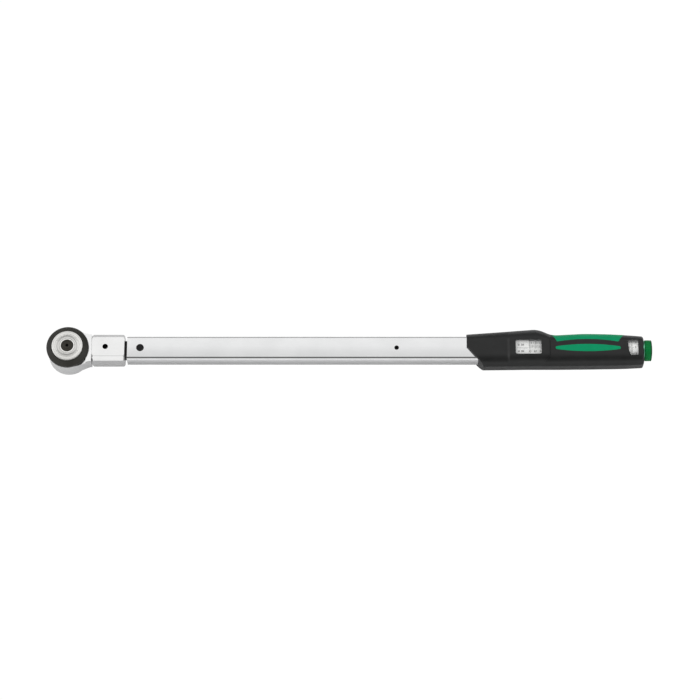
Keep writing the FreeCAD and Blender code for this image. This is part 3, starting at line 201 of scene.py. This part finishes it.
def tone_outwards(tree, colour, stops):
    """Colour multiplied by a grey that changes with the distance from the Z axis."""
    source = tree.nodes.new("ShaderNodeTexCoord")
    flat = tree.nodes.new("ShaderNodeVectorMath")
    flat.operation = "MULTIPLY"
    flat.inputs[1].default_value = (1, 1, 0)
    reach = tree.nodes.new("ShaderNodeVectorMath")
    reach.operation = "LENGTH"
    tree.links.new(source.outputs["Object"], flat.inputs[0])
    tree.links.new(flat.outputs["Vector"], reach.inputs[0])
    return toned(tree, colour, reach.outputs["Value"], stops)


block_low, block_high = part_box("fixture_block")
BLOCK_CHAMFER = 4.15 * MM
CREASE = block_low[1] + BLOCK_CHAMFER
# Width of the painted shade line along the block's chamfer crease.
CREASE_SHADE_WIDTH = 0.6 * MM
MATERIALS = {
    "chromed_tube": metal(
        "chromed_tube", (0.555, 0.558, 0.56), (0.59, 0.593, 0.595), (0.10, 0.17), (0.03, 1, 1), 2600, 0.03,
        across=[
            # Painted reflection: the tube's top is painted darker over its near half, the way a crowned face would
            # reflect the graded sky.
            ("Y", [
                (-0.0135, 1.0), (-0.0129, 0.95), (-0.0125, 0.80),
                (-0.006, 0.85), (0.002, 0.97), (0.012, 1.0)]),
            # Painted highlight and shade: a bright band painted just under the top edge, and the sides painted
            # darker towards the bottom.
            ("Z", [
                (0.0085, 0.92), (0.0185, 1.02), (0.0262, 1.5),
                (0.0275, 1.2), (0.0281, 1.0), (0.0285, 1.0)])]),
    "chromed_block": metal(
        "chromed_block", (0.58, 0.58, 0.578), (0.63, 0.63, 0.628), (0.14, 0.22), (1, 1, 1), 1400, 0.05,
        # Painted shade: a dark line painted along the chamfer crease, with a faint painted highlight just before
        # it.
        across=[("Y", [
            (block_low[1], 1.0), (CREASE - CREASE_SHADE_WIDTH, 1.03), (CREASE, 0.76), (CREASE + CREASE_SHADE_WIDTH, 1.0),
            (block_high[1], 1.0)])]),
    "chromed_head": metal(
        "chromed_head", (0.60, 0.60, 0.60), (0.66, 0.66, 0.66),
        (0.16, 0.24), (1, 1, 1), 1400, 0.05),
    "chromed_drive": metal(
        "chromed_drive", (0.55, 0.56, 0.57), (0.62, 0.625, 0.63),
        (0.28, 0.4), (1, 1, 1), 1400, 0.06),
    "brushed_disc": metal(
        "brushed_disc", (0.50, 0.495, 0.48), (0.60, 0.595, 0.58), (0.2, 0.3), (1, 1, 1), 1800, 0.03,
        # Painted shade: the disc is painted darker over its grooves at 8.3 mm and 10.8 mm; elsewhere it is toned
        # lighter and darker by radius.
        outwards=[
            (0.0064, 1.15), (0.0079, 1.15), (0.0083, 0.80), (0.0094, 0.95), (0.0102, 0.72), (0.0114, 0.72),
            (0.0120, 1.02), (0.0150, 1.08), (0.0169, 0.95)]),
    "spring_steel": metal("spring_steel", (0.42, 0.43, 0.44), (0.52, 0.53, 0.54), (0.28, 0.42)),
    "bright_steel": metal("bright_steel", (0.55, 0.56, 0.57), (0.64, 0.65, 0.66), (0.22, 0.34)),
    "brass": metal("brass", (0.62, 0.44, 0.18), (0.72, 0.54, 0.26), (0.24, 0.36)),
    "satin_ring": metal("satin_ring", (0.13, 0.40, 0.26), (0.18, 0.50, 0.33), (0.3, 0.42)),
    "blackened_steel": plastic(
        "blackened_steel", (0.004, 0.004, 0.004), (0.009, 0.009, 0.009),
        (0.34, 0.48), 0.0006, 0.2, shine=0.15),
    "black_button": plastic(
        "black_button", (0.020, 0.018, 0.014), (0.034, 0.031, 0.025),
        (0.30, 0.40), 0.0005, 0.08, shine=0.15),
    "knurled_black_ring": plastic(
        "knurled_black_ring", (0.014, 0.0135, 0.011), (0.024, 0.023, 0.019),
        (0.32, 0.46), 0.0005, 0.15, shine=0.22),
    "black_rubber": plastic(
        "black_rubber", (0.003, 0.003, 0.003), (0.007, 0.007, 0.007),
        (0.6, 0.75), 0.0005, 0.2, shine=0.1),
    "black_plastic": plastic(
        "black_plastic", (0.0045, 0.0048, 0.0048), (0.008, 0.0084, 0.0084),
        (0.34, 0.44), 0.00035, 0.12, shine=0.28),
    "green_soft_plastic": plastic(
        "green_soft_plastic", (0.000, 0.225, 0.092), (0.000, 0.265, 0.112),
        (0.46, 0.6), 0.0003, 0.12, shine=0.10),
    "green_plastic": plastic(
        "green_plastic", (0.000, 0.130, 0.026), (0.000, 0.160, 0.038),
        (0.42, 0.55), 0.0004, 0.08, shine=0.10),
    "dark_green_plastic": plastic(
        "dark_green_plastic", (0.000, 0.055, 0.012), (0.000, 0.075, 0.020),
        (0.42, 0.55), 0.0004, 0.08, shine=0.10),
    "deep_black": plastic(
        "deep_black", (0.001, 0.001, 0.001), (0.003, 0.003, 0.003),
        (0.6, 0.7), 0.0005, 0.1, shine=0.02),
    "dark_marking": plastic(
        "dark_marking", (0.020, 0.020, 0.020), (0.035, 0.035, 0.035),
        (0.5, 0.6), 0.0004, 0.02, shine=0.1),
    "grey_marking": plastic(
        "grey_marking", (0.12, 0.12, 0.115), (0.18, 0.18, 0.175),
        (0.4, 0.5), 0.0004, 0.02, shine=0.2),
    "white_plastic": plastic(
        "white_plastic", (0.80, 0.80, 0.785), (0.86, 0.86, 0.845),
        (0.4, 0.5), 0.0004, 0.04, shine=0.3),
}


def clear_material():
    """Thin clear window plastic with a faint haze."""
    material, tree, shader = new_material("clear_window")
    shader.inputs["Base Color"].default_value = (0.9, 0.92, 0.92, 1)
    shader.inputs["Alpha"].default_value = 0.06
    haze = noise(tree, coordinates(tree), 400, 2)
    tree.links.new(remap(tree, haze, 0.3, 0.7, 0.04, 0.10), shader.inputs["Roughness"])
    return material


MATERIALS["clear_window"] = clear_material()


def shade(made, degrees=30):
    """Smooth shading, broken at sharp edges."""
    mesh = made.data
    mesh.polygons.foreach_set("use_smooth", [True] * len(mesh.polygons))
    mesh.update()
    sharp = bmesh.new()
    sharp.from_mesh(mesh)
    limit = math.radians(degrees)
    for edge in sharp.edges:
        if len(edge.link_faces) == 2:
            edge.smooth = edge.calc_face_angle(0) < limit
    sharp.to_mesh(mesh)
    sharp.free()


for entry in frame["record"]["subparts"]:
    node = nodes[entry["node"]]
    node.data.materials.clear()
    node.data.materials.append(MATERIALS[entry["material_slot"]])


# ---------------------------------------------------------------- mesh helpers
def piece(name, vertices, faces, material, body, slot, smooth=30):
    """Mesh piece with its material, its body (None if it bends) and a material slot, which is not used."""
    mesh = bpy.data.meshes.new(name)
    mesh.from_pydata(vertices, [], faces)
    mesh.validate()
    solid = bmesh.new()
    solid.from_mesh(mesh)
    bmesh.ops.remove_doubles(solid, verts=solid.verts, dist=WELD)
    loose = [edge for edge in solid.edges if not edge.link_faces]
    bmesh.ops.delete(solid, geom=loose, context="EDGES")
    bmesh.ops.recalc_face_normals(solid, faces=solid.faces)
    solid.to_mesh(mesh)
    solid.free()
    made = bpy.data.objects.new(name, mesh)
    made.data.materials.append(MATERIALS[material])
    bpy.context.scene.collection.objects.link(made)
    shade(made, smooth)
    if body:
        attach(made, body)
    return made


def revolve(profile, centre, axis, steps, ripple=None):
    """Closed ring of a closed profile of (radius, height) about an axis through a centre."""
    vertices, faces = [], []
    count = len(profile)
    for step in range(steps):
        angle = 2 * math.pi * step / steps
        for index, (radius, height) in enumerate(profile):
            grown = radius + (ripple(angle, index) if ripple else 0.0)
            if axis == "z":
                spot = (grown * math.cos(angle), grown * math.sin(angle), height)
            else:
                spot = (height, grown * math.cos(angle), grown * math.sin(angle))
            vertices.append(tuple(c + s for c, s in zip(centre, spot)))
    for step in range(steps):
        after = (step + 1) % steps
        for index in range(count):
            other = (index + 1) % count
            faces.append((
                step * count + index, after * count + index,
                after * count + other, step * count + other))
    return vertices, faces


def slab(outline, low, high):
    """Prism over an outline in plan, as vertices and faces."""
    count = len(outline)
    vertices = [(x, y, low) for x, y in outline] + [(x, y, high) for x, y in outline]
    faces = [tuple(reversed(range(count))), tuple(range(count, 2 * count))]
    for index in range(count):
        after = (index + 1) % count
        faces.append((index, after, count + after, count + index))
    return vertices, faces


def joined(parts):
    """Several (vertices, faces) as one."""
    vertices, faces = [], []
    for some_vertices, some_faces in parts:
        start = len(vertices)
        vertices += some_vertices
        faces += [tuple(start + index for index in face) for face in some_faces]
    return vertices, faces


def bar(x, y, length, width, low, high):
    """Flat bar in plan centred on a place, long along X."""
    half_length, half_width = length / 2, width / 2
    outline = [
        (x - half_length, y - half_width), (x + half_length, y - half_width),
        (x + half_length, y + half_width), (x - half_length, y + half_width)]
    return slab(outline, low, high)


def lettering(text, height, thickness):
    """Raised generic figures in plan, centred on the origin, as vertices and faces."""
    curve = bpy.data.curves.new("figures", "FONT")
    curve.body = text
    curve.size = height
    curve.extrude = thickness / 2
    curve.resolution_u = 3
    curve.align_x = "CENTER"
    curve.align_y = "CENTER"
    holder = bpy.data.objects.new("figures", curve)
    bpy.context.scene.collection.objects.link(holder)
    bpy.context.view_layer.update()
    shown = holder.evaluated_get(bpy.context.evaluated_depsgraph_get())
    mesh = bpy.data.meshes.new_from_object(shown)
    vertices = [tuple(v.co) for v in mesh.vertices]
    faces = [tuple(f.vertices) for f in mesh.polygons]
    bpy.data.objects.remove(holder)
    bpy.data.curves.remove(curve)
    bpy.data.meshes.remove(mesh)
    return vertices, faces


def placed(part, x, y, z):
    """Vertices moved to a place."""
    vertices, faces = part
    return [(vx + x, vy + y, vz + z) for vx, vy, vz in vertices], faces


def wrapped(part, radius, angle, along):
    """Flat figures laid on a drum about the X axis; their up runs round the drum."""
    vertices, faces = part
    laid = []
    for x, y, z in vertices:
        turn = angle + y / radius
        reach = radius + z
        laid.append((along + x, reach * math.sin(turn), CENTRE + reach * math.cos(turn)))
    return laid, faces


def soften(node, width, degrees=30):
    """Small rounding on the sharp edges of a carried-over node."""
    modifier = nodes[node].modifiers.new("softened_edges", "BEVEL")
    modifier.width = width
    modifier.segments = 3
    modifier.limit_method = "ANGLE"
    modifier.angle_limit = math.radians(degrees)
    modifier.harden_normals = True


# ---------------------------------------------------------------- ratchet head
ring_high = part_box("reversing_ring")[1]
disc_low, disc_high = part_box("face_disc")
RING_RADIUS = ring_high[1]
DISC_RADIUS = disc_high[1]
button_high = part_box("quick_release_button")[1]
BUTTON_RADIUS = button_high[1]
RING_RIDGES = 132
RIDGE_HEIGHT = 0.22 * MM
RING_CONE = 3.4 * MM
RING_SKIN = 7.3 * MM
SKIN_THICKNESS = 0.7 * MM
SKIN_DROP = 0.4 * MM
RIDGE_SLANT = 0.020
CONE_STEPS = 9
DISC_GAP = 0.85 * MM


def ring_grip():
    """Knurled skin of the reversing ring: its cone and its straight grip, with slanting ridges."""
    top = ring_high[2]
    cone_foot = top - RING_CONE
    foot = top - RING_SKIN
    lip = DISC_RADIUS + DISC_GAP
    outer = []
    for step in range(CONE_STEPS + 1):
        share = step / CONE_STEPS
        outer.append((lip + (RING_RADIUS - lip) * share, top - (top - cone_foot) * share))
    for share in (0.25, 0.5, 0.75, 1.0):
        outer.append((RING_RADIUS, cone_foot - (cone_foot - foot) * share))
    inner = [(radius - SKIN_THICKNESS, height - SKIN_DROP) for radius, height in reversed(outer)]
    profile = outer + inner
    last = len(outer) - 1

    def ripple(angle, index):
        if index > last or index in (0, last):
            return 0.0
        slant = RIDGE_SLANT * index
        wave = math.sin(RING_RIDGES * (angle + slant))
        return RIDGE_HEIGHT * (0.5 + 0.5 * max(-1.0, min(1.0, 1.6 * wave)))
    return revolve(profile, (0, 0, 0), "z", RING_RIDGES * 6, ripple)


piece("ring_grip", *ring_grip(), "knurled_black_ring", "ring", "knurled_black_ring", 60)


DISC_GROOVES = ((8.3 * MM, 0.35 * MM), (10.8 * MM, 0.75 * MM), (13.3 * MM, 0.2 * MM), (15.3 * MM, 0.2 * MM))
GROOVE_DEPTH = 0.22 * MM


def engraved_disc():
    """Face disc with turned concentric grooves and a chamfered rim."""
    top, bottom = disc_high[2], disc_low[2]
    bore = BUTTON_RADIUS + 0.15 * MM
    profile = [(bore, bottom), (bore, top - 0.35 * MM), (bore + 0.35 * MM, top)]
    for at, wide in DISC_GROOVES:
        profile += [
            (at - wide, top), (at - 0.4 * wide, top - GROOVE_DEPTH),
            (at + 0.4 * wide, top - GROOVE_DEPTH), (at + wide, top)]
    profile += [
        (DISC_RADIUS - 0.6 * MM, top), (DISC_RADIUS - 0.2 * MM, top - 0.15 * MM),
        (DISC_RADIUS, top - 0.5 * MM), (DISC_RADIUS, bottom)]
    return revolve(profile, (0, 0, 0), "z", 128)


face = piece("face_disc_engraved", *engraved_disc(), "brushed_disc", "drive", "brushed_disc", 20)
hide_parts("face_disc")


MARKS = 25
MARK_STEP = 5.2
ARC_STARTS = (28, 208)
MARK_INSIDE = 11.8 * MM
MARK_OUTSIDE = 12.6 * MM
LONG_MARK_OUTSIDE = 12.9 * MM


def disc_ticks():
    """Two arcs of short printed marks on the face disc, opposite each other."""
    marks = []
    for start in ARC_STARTS:
        for step in range(MARKS):
            angle = math.radians(start + step * MARK_STEP)
            outside = MARK_OUTSIDE if step % 3 else LONG_MARK_OUTSIDE
            half = 0.2 * MM
            cosine, sine = math.cos(angle), math.sin(angle)
            outline = [
                (along * cosine - aside * sine, along * sine + aside * cosine)
                for along, aside in (
                    (MARK_INSIDE, -half), (outside, -half), (outside, half), (MARK_INSIDE, half))]
            marks.append(slab(outline, disc_high[2] - 0.3 * MM, disc_high[2] + 0.02 * MM))
    return joined(marks)


piece("face_disc_marks", *disc_ticks(), "grey_marking", "drive", "brushed_disc")


def button_cap():
    """Rounded cap of the quick-release button, with a ring groove and a dimple in its middle."""
    top = button_high[2]
    edge = BUTTON_RADIUS
    profile = [
        (0, top - 1.0 * MM),
        (edge - 0.05 * MM, top - 1.0 * MM),
        (edge + 0.03 * MM, top - 0.45 * MM),
        (edge - 0.25 * MM, top + 0.05 * MM),
        (edge - 0.8 * MM, top + 0.3 * MM),
        (edge - 1.5 * MM, top + 0.36 * MM),
        (edge - 1.7 * MM, top + 0.22 * MM),
        (edge - 1.95 * MM, top + 0.22 * MM),
        (edge - 2.15 * MM, top + 0.38 * MM),
        (2.4 * MM, top + 0.42 * MM),
        (1.7 * MM, top + 0.3 * MM),
        (1.5 * MM, top - 0.25 * MM),
        (0, top - 0.5 * MM)]
    return revolve(profile, (0, 0, 0), "z", 96)


piece("button_cap", *button_cap(), "black_button", "button", "black_button", 40)


def button_dimple():
    """Dark dished plug in the middle of the button."""
    top = button_high[2]
    profile = [
        (0, top - 0.9 * MM), (1.5 * MM, top - 0.9 * MM), (1.6 * MM, top + 0.1 * MM),
        (1.3 * MM, top + 0.05 * MM), (0.7 * MM, top - 0.2 * MM), (0, top - 0.3 * MM)]
    return revolve(profile, (0, 0, 0), "z", 48)


piece("button_dimple", *button_dimple(), "deep_black", "button", "black_button", 40)

# ---------------------------------------------------------------- scales behind the windows
plate_low, plate_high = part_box("scale_plate")
strip_low, strip_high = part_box("scale_strip")
drum_low, drum_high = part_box("fine_scale_drum")
INK = 0.08 * MM
PLATE_ROWS = (3.2 * MM, -4.4 * MM)
STROKE_PLACES = (-4.4, -3.3, -0.7, 0.4, 1.5)


def plate_print():
    """Plain index strokes of the two rows and the line between them, on the fixed plate."""
    top = plate_high[2] + INK / 2 - 0.01 * MM
    middle = (plate_low[0] + plate_high[0]) / 2
    strokes = []
    for row in PLATE_ROWS:
        for x in STROKE_PLACES:
            strokes.append(bar(middle + x * MM, row, 0.6 * MM, 2.2 * MM, top - INK / 2, top + INK / 2))
    line = bar(
        middle, -0.6 * MM, 12.6 * MM, 0.3 * MM, plate_high[2] - 0.02 * MM, plate_high[2] + 0.05 * MM)
    return joined(strokes + [line])


piece("plate_print", *plate_print(), "dark_marking", "wrench", "white_plastic")

SCALE_STEP = 1.5 * MM
STEPS_PER_FIGURE = 4


def strip_print():
    """Divisions along the middle of the moving strip, with figures on both sides."""
    top = strip_high[2]
    low, high = top - 0.02 * MM, top + 0.06 * MM
    parts = []
    count = int((strip_high[0] - strip_low[0] - 3 * MM) / SCALE_STEP)
    first = (strip_low[0] + strip_high[0]) / 2 - SCALE_STEP * (count // 2)
    for step in range(count + 1):
        x = first + step * SCALE_STEP
        if not strip_low[0] + MM < x < strip_high[0] - MM:
            continue
        major = step % STEPS_PER_FIGURE == 0
        parts.append(bar(x, 1.6 * MM, 0.4 * MM, (4.6 if major else 2.8) * MM, low, high))
        if major:
            figure = str(60 + 10 * (step // STEPS_PER_FIGURE))
            parts.append(placed(lettering(figure, 3.4 * MM, INK), x, 5.6 * MM, top + INK / 2))
            figure = str(45 + 7 * (step // STEPS_PER_FIGURE))
            parts.append(placed(lettering(figure, 3.2 * MM, INK), x, -4.3 * MM, top + INK / 2))
    return joined(parts)


piece("strip_print", *strip_print(), "dark_marking", "slider", "white_plastic")


DRUM_STEPS = 40


def drum_print():
    """Divisions and figures round the fine scale drum."""
    radius = drum_high[1]
    start = drum_low[0]
    parts = []
    for step in range(DRUM_STEPS):
        angle = 2 * math.pi * step / DRUM_STEPS
        major = step % STEPS_PER_FIGURE == 0
        tick = bar(0, 0, (3.0 if major else 1.8) * MM, 0.4 * MM, -0.02 * MM, 0.06 * MM)
        parts.append(wrapped(tick, radius, angle, start + (9.2 if major else 8.7) * MM))
        if major:
            figure = lettering(str(step // STEPS_PER_FIGURE), 3.8 * MM, INK)
            parts.append(wrapped(placed(figure, 0, 0, INK / 2), radius, angle, start + 6.0 * MM))
            figure = lettering(str(2 * (step // STEPS_PER_FIGURE)), 3.4 * MM, INK)
            parts.append(wrapped(placed(figure, 0, 0, INK / 2), radius, angle, start + 12.6 * MM))
    return joined(parts)


piece("drum_print", *drum_print(), "dark_marking", "spindle", "white_plastic")

# ---------------------------------------------------------------- knob
knob_low, knob_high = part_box("knob")
FLUTES = 28
FLUTE_DEPTH = 0.22 * MM


def knob_flutes():
    """Finely fluted skin of the knob."""
    radius = knob_high[1] - 0.05 * MM
    start, end = knob_low[0] + 0.35 * MM, knob_high[0] - 0.5 * MM
    outer = [(start + (end - start) * share) for share in (0.0, 0.08, 0.5, 0.92, 1.0)]
    profile = [(radius, x) for x in outer] + [(radius - 0.6 * MM, x) for x in reversed(outer)]

    def ripple(angle, index):
        if index in (0, 4) or index > 4:
            return 0.0
        return FLUTE_DEPTH * (0.5 + 0.5 * math.cos(FLUTES * angle))
    return revolve(profile, (0, 0, CENTRE), "x", FLUTES * 8, ripple)


piece("knob_flutes", *knob_flutes(), "green_plastic", "knob", "green_plastic", 50)


# ---------------------------------------------------------------- springs and bending bar
def coil(node, turns, wire, sides=12, per_turn=36):
    """Round-wire coil spring with closed, flattened ends in the space of its node."""
    low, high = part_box(node)
    centre = ((low[0] + high[0]) / 2, (low[1] + high[1]) / 2)
    reach = (high[0] - low[0]) / 2 - wire
    bottom, top = low[2] + wire, high[2] - wire
    count = int(turns * per_turn)
    vertices, faces = [], []
    for step in range(count + 1):
        share = step / count
        angle = 2 * math.pi * turns * share
        eased = share - math.sin(2 * math.pi * share) / (2 * math.pi) * 0.35
        middle = Vector((
            centre[0] + reach * math.cos(angle),
            centre[1] + reach * math.sin(angle),
            bottom + (top - bottom) * eased))
        out = Vector((math.cos(angle), math.sin(angle), 0))
        up = Vector((0, 0, 1))
        for side in range(sides):
            turn = 2 * math.pi * side / sides
            vertices.append(tuple(middle + wire * (math.cos(turn) * out + math.sin(turn) * up)))
    for step in range(count):
        for side in range(sides):
            after = (side + 1) % sides
            faces.append((
                step * sides + side, step * sides + after,
                (step + 1) * sides + after, (step + 1) * sides + side))
    faces.append(tuple(range(sides)))
    faces.append(tuple(count * sides + side for side in reversed(range(sides))))
    return vertices, faces


for node, body, joint, turns, wire, keep in (
    ("button_spring", "drive", "release_button", 4, 0.35 * MM, 0.47),
    ("lock_pin_spring", "lever", "lock_pin_press", 6, 0.3 * MM, 0.50),
):
    spring = piece(node + "_coil", *coil(node, turns, wire), "spring_steel", body, "spring_steel", 60)
    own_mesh(spring)
    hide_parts(node)


LEAF_LENGTHS = 60


def bending_leaf():
    """Measuring leaf: a long bar with softened edges, in many short lengths so that it can bend."""
    low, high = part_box("bending_bar")
    edge = 0.5 * MM
    across = [
        (low[1] + edge, low[2]), (high[1] - edge, low[2]),
        (high[1], low[2] + edge), (high[1], high[2] - edge),
        (high[1] - edge, high[2]), (low[1] + edge, high[2]),
        (low[1], high[2] - edge), (low[1], low[2] + edge)]
    sides = len(across)
    vertices, faces = [], []
    for step in range(LEAF_LENGTHS + 1):
        x = low[0] + (high[0] - low[0]) * step / LEAF_LENGTHS
        vertices += [(x, y, z) for y, z in across]
    for step in range(LEAF_LENGTHS):
        for side in range(sides):
            after = (side + 1) % sides
            faces.append((
                step * sides + side, step * sides + after,
                (step + 1) * sides + after, (step + 1) * sides + side))
    faces.append(tuple(range(sides)))
    faces.append(tuple(LEAF_LENGTHS * sides + side for side in reversed(range(sides))))
    return vertices, faces


leaf = piece("bending_leaf", *bending_leaf(), "spring_steel", None, "spring_steel")
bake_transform(leaf)
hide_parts("bending_bar")

# ---------------------------------------------------------------- edges and finishes of carried-over nodes
soften("handle_sleeve", 0.5 * MM, 28)
soften("fixture_block", 0.7 * MM)
for node in ("ratchet_body", "end_ring"):
    soften(node, 0.25 * MM)
for node, material in (
    ("insert_lock_pin", "deep_black"), ("roll_pin", "blackened_steel"), ("knob_cap", "dark_green_plastic"),
):
    nodes[node].data.materials[0] = MATERIALS[material]

# ---------------------------------------------------------------- floor, light and camera
FLOOR_GAP = 0.0002
FLOOR = cad_bounds[0].z - FLOOR_GAP
REACH = 12


def floor_material():
    """Plain pale studio floor, burnt out to white for the camera as in a packshot."""
    material, tree, shader = new_material("studio_floor")
    cloud = noise(tree, coordinates(tree), 3, 2)
    tone = ramp(tree, cloud, [(0.3, (0.78, 0.78, 0.785)), (0.7, (0.80, 0.80, 0.805))])
    tree.links.new(tone, shader.inputs["Base Color"])
    shader.inputs["Roughness"].default_value = 0.9
    shader.inputs["Specular IOR Level"].default_value = 0.1
    white = tree.nodes.new("ShaderNodeEmission")
    white.inputs["Strength"].default_value = 1.02
    path = tree.nodes.new("ShaderNodeLightPath")
    mix = tree.nodes.new("ShaderNodeMixShader")
    tree.links.new(path.outputs["Is Camera Ray"], mix.inputs[0])
    tree.links.new(shader.outputs["BSDF"], mix.inputs[1])
    tree.links.new(white.outputs["Emission"], mix.inputs[2])
    tree.links.new(mix.outputs["Shader"], tree.nodes["Material Output"].inputs["Surface"])
    return material


floor_mesh = bpy.data.meshes.new("studio_floor")
floor_mesh.from_pydata(
    [(-REACH, -REACH, FLOOR), (REACH, -REACH, FLOOR), (REACH, REACH, FLOOR), (-REACH, REACH, FLOOR)],
    [], [(0, 1, 2, 3)])
floor = bpy.data.objects.new("studio_floor", floor_mesh)
floor.data.materials.append(floor_material())
bpy.context.scene.collection.objects.link(floor)


def math_node(tree, operation, first, second):
    """Result of one arithmetic operation on two values or sockets."""
    node = tree.nodes.new("ShaderNodeMath")
    node.operation = operation
    for socket, value in zip(node.inputs, (first, second)):
        if isinstance(value, (int, float)):
            socket.default_value = value
        else:
            tree.links.new(value, socket)
    return node.outputs["Value"]


def around(tree, direction, centre, inner, outer):
    """One near a direction of the sky, falling to nought between two angles in degrees."""
    dot = tree.nodes.new("ShaderNodeVectorMath")
    dot.operation = "DOT_PRODUCT"
    tree.links.new(direction, dot.inputs[0])
    dot.inputs[1].default_value = Vector(centre).normalized()
    node = tree.nodes.new("ShaderNodeMapRange")
    node.interpolation_type = "SMOOTHSTEP"
    node.inputs["From Min"].default_value = math.cos(math.radians(outer))
    node.inputs["From Max"].default_value = math.cos(math.radians(inner))
    tree.links.new(dot.outputs["Value"], node.inputs["Value"])
    return node.outputs["Result"]


SKY = 1.45
DARK_PATCH = ((0, -0.35, 0.94), 20, 39)
DARKNESS = 0.8
SOFT_BOXES = [((-0.85, 0.25, 0.47), 12, 32, 1.2), ((0.85, 0.1, 0.45), 10, 30, 0.6)]


def studio_world():
    """Graded sky with a darker patch near the top and soft boxes at both ends of the tool."""
    world = bpy.data.worlds.new("studio")
    world.use_nodes = True
    tree = world.node_tree
    tree.nodes.clear()
    source = tree.nodes.new("ShaderNodeTexCoord")
    direction = source.outputs["Generated"]
    split = tree.nodes.new("ShaderNodeSeparateXYZ")
    tree.links.new(direction, split.inputs["Vector"])
    back = ramp(tree, split.outputs["Z"], [(0.0, (0.25,) * 3), (0.45, (0.45,) * 3), (0.8, (1.0,) * 3)])
    front = ramp(tree, split.outputs["Z"], [(0.0, (0.7,) * 3), (0.12, (1.0,) * 3), (0.6, (0.9,) * 3)])
    side = remap(tree, split.outputs["Y"], -0.25, 0.25, 0.0, 1.0)
    mix = tree.nodes.new("ShaderNodeMix")
    mix.data_type = "RGBA"
    tree.links.new(side, mix.inputs["Factor"])
    tree.links.new(front, mix.inputs["A"])
    tree.links.new(back, mix.inputs["B"])
    gray = tree.nodes.new("ShaderNodeRGBToBW")
    tree.links.new(mix.outputs["Result"], gray.inputs["Color"])
    dark = math_node(tree, "MULTIPLY", around(tree, direction, *DARK_PATCH), DARKNESS)
    level = math_node(tree, "SUBTRACT", 1.0, dark)
    base = math_node(tree, "MULTIPLY", gray.outputs["Val"], level)
    base = math_node(tree, "MULTIPLY", base, SKY)
    for centre, inner, outer, strength in SOFT_BOXES:
        glow = math_node(tree, "MULTIPLY", around(tree, direction, centre, inner, outer), strength)
        base = math_node(tree, "ADD", base, glow)
    background = tree.nodes.new("ShaderNodeBackground")
    background.inputs["Color"].default_value = (1.0, 1.0, 1.0, 1.0)
    tree.links.new(base, background.inputs["Strength"])
    world_output = tree.nodes.new("ShaderNodeOutputWorld")
    tree.links.new(background.outputs["Background"], world_output.inputs["Surface"])
    return world


bpy.context.scene.world = studio_world()

MIDDLE = Vector((0.3076, 0.0009, CENTRE))
LENS = 140.7
ELEVATION = math.radians(69.6)
DISTANCE = 2.99

camera_data = bpy.data.cameras.new("camera")
camera_data.sensor_width = 36
camera_data.lens = LENS
camera_data.clip_start = 0.05
camera_data.clip_end = 60
camera = bpy.data.objects.new("camera", camera_data)
towards_camera = Vector((0, -math.cos(ELEVATION), math.sin(ELEVATION)))
camera.location = MIDDLE + towards_camera * DISTANCE
camera.rotation_euler = (-towards_camera).to_track_quat("-Z", "Y").to_euler()
bpy.context.scene.collection.objects.link(camera)
bpy.context.scene.camera = camera
bpy.context.scene.view_settings.view_transform = "Standard"
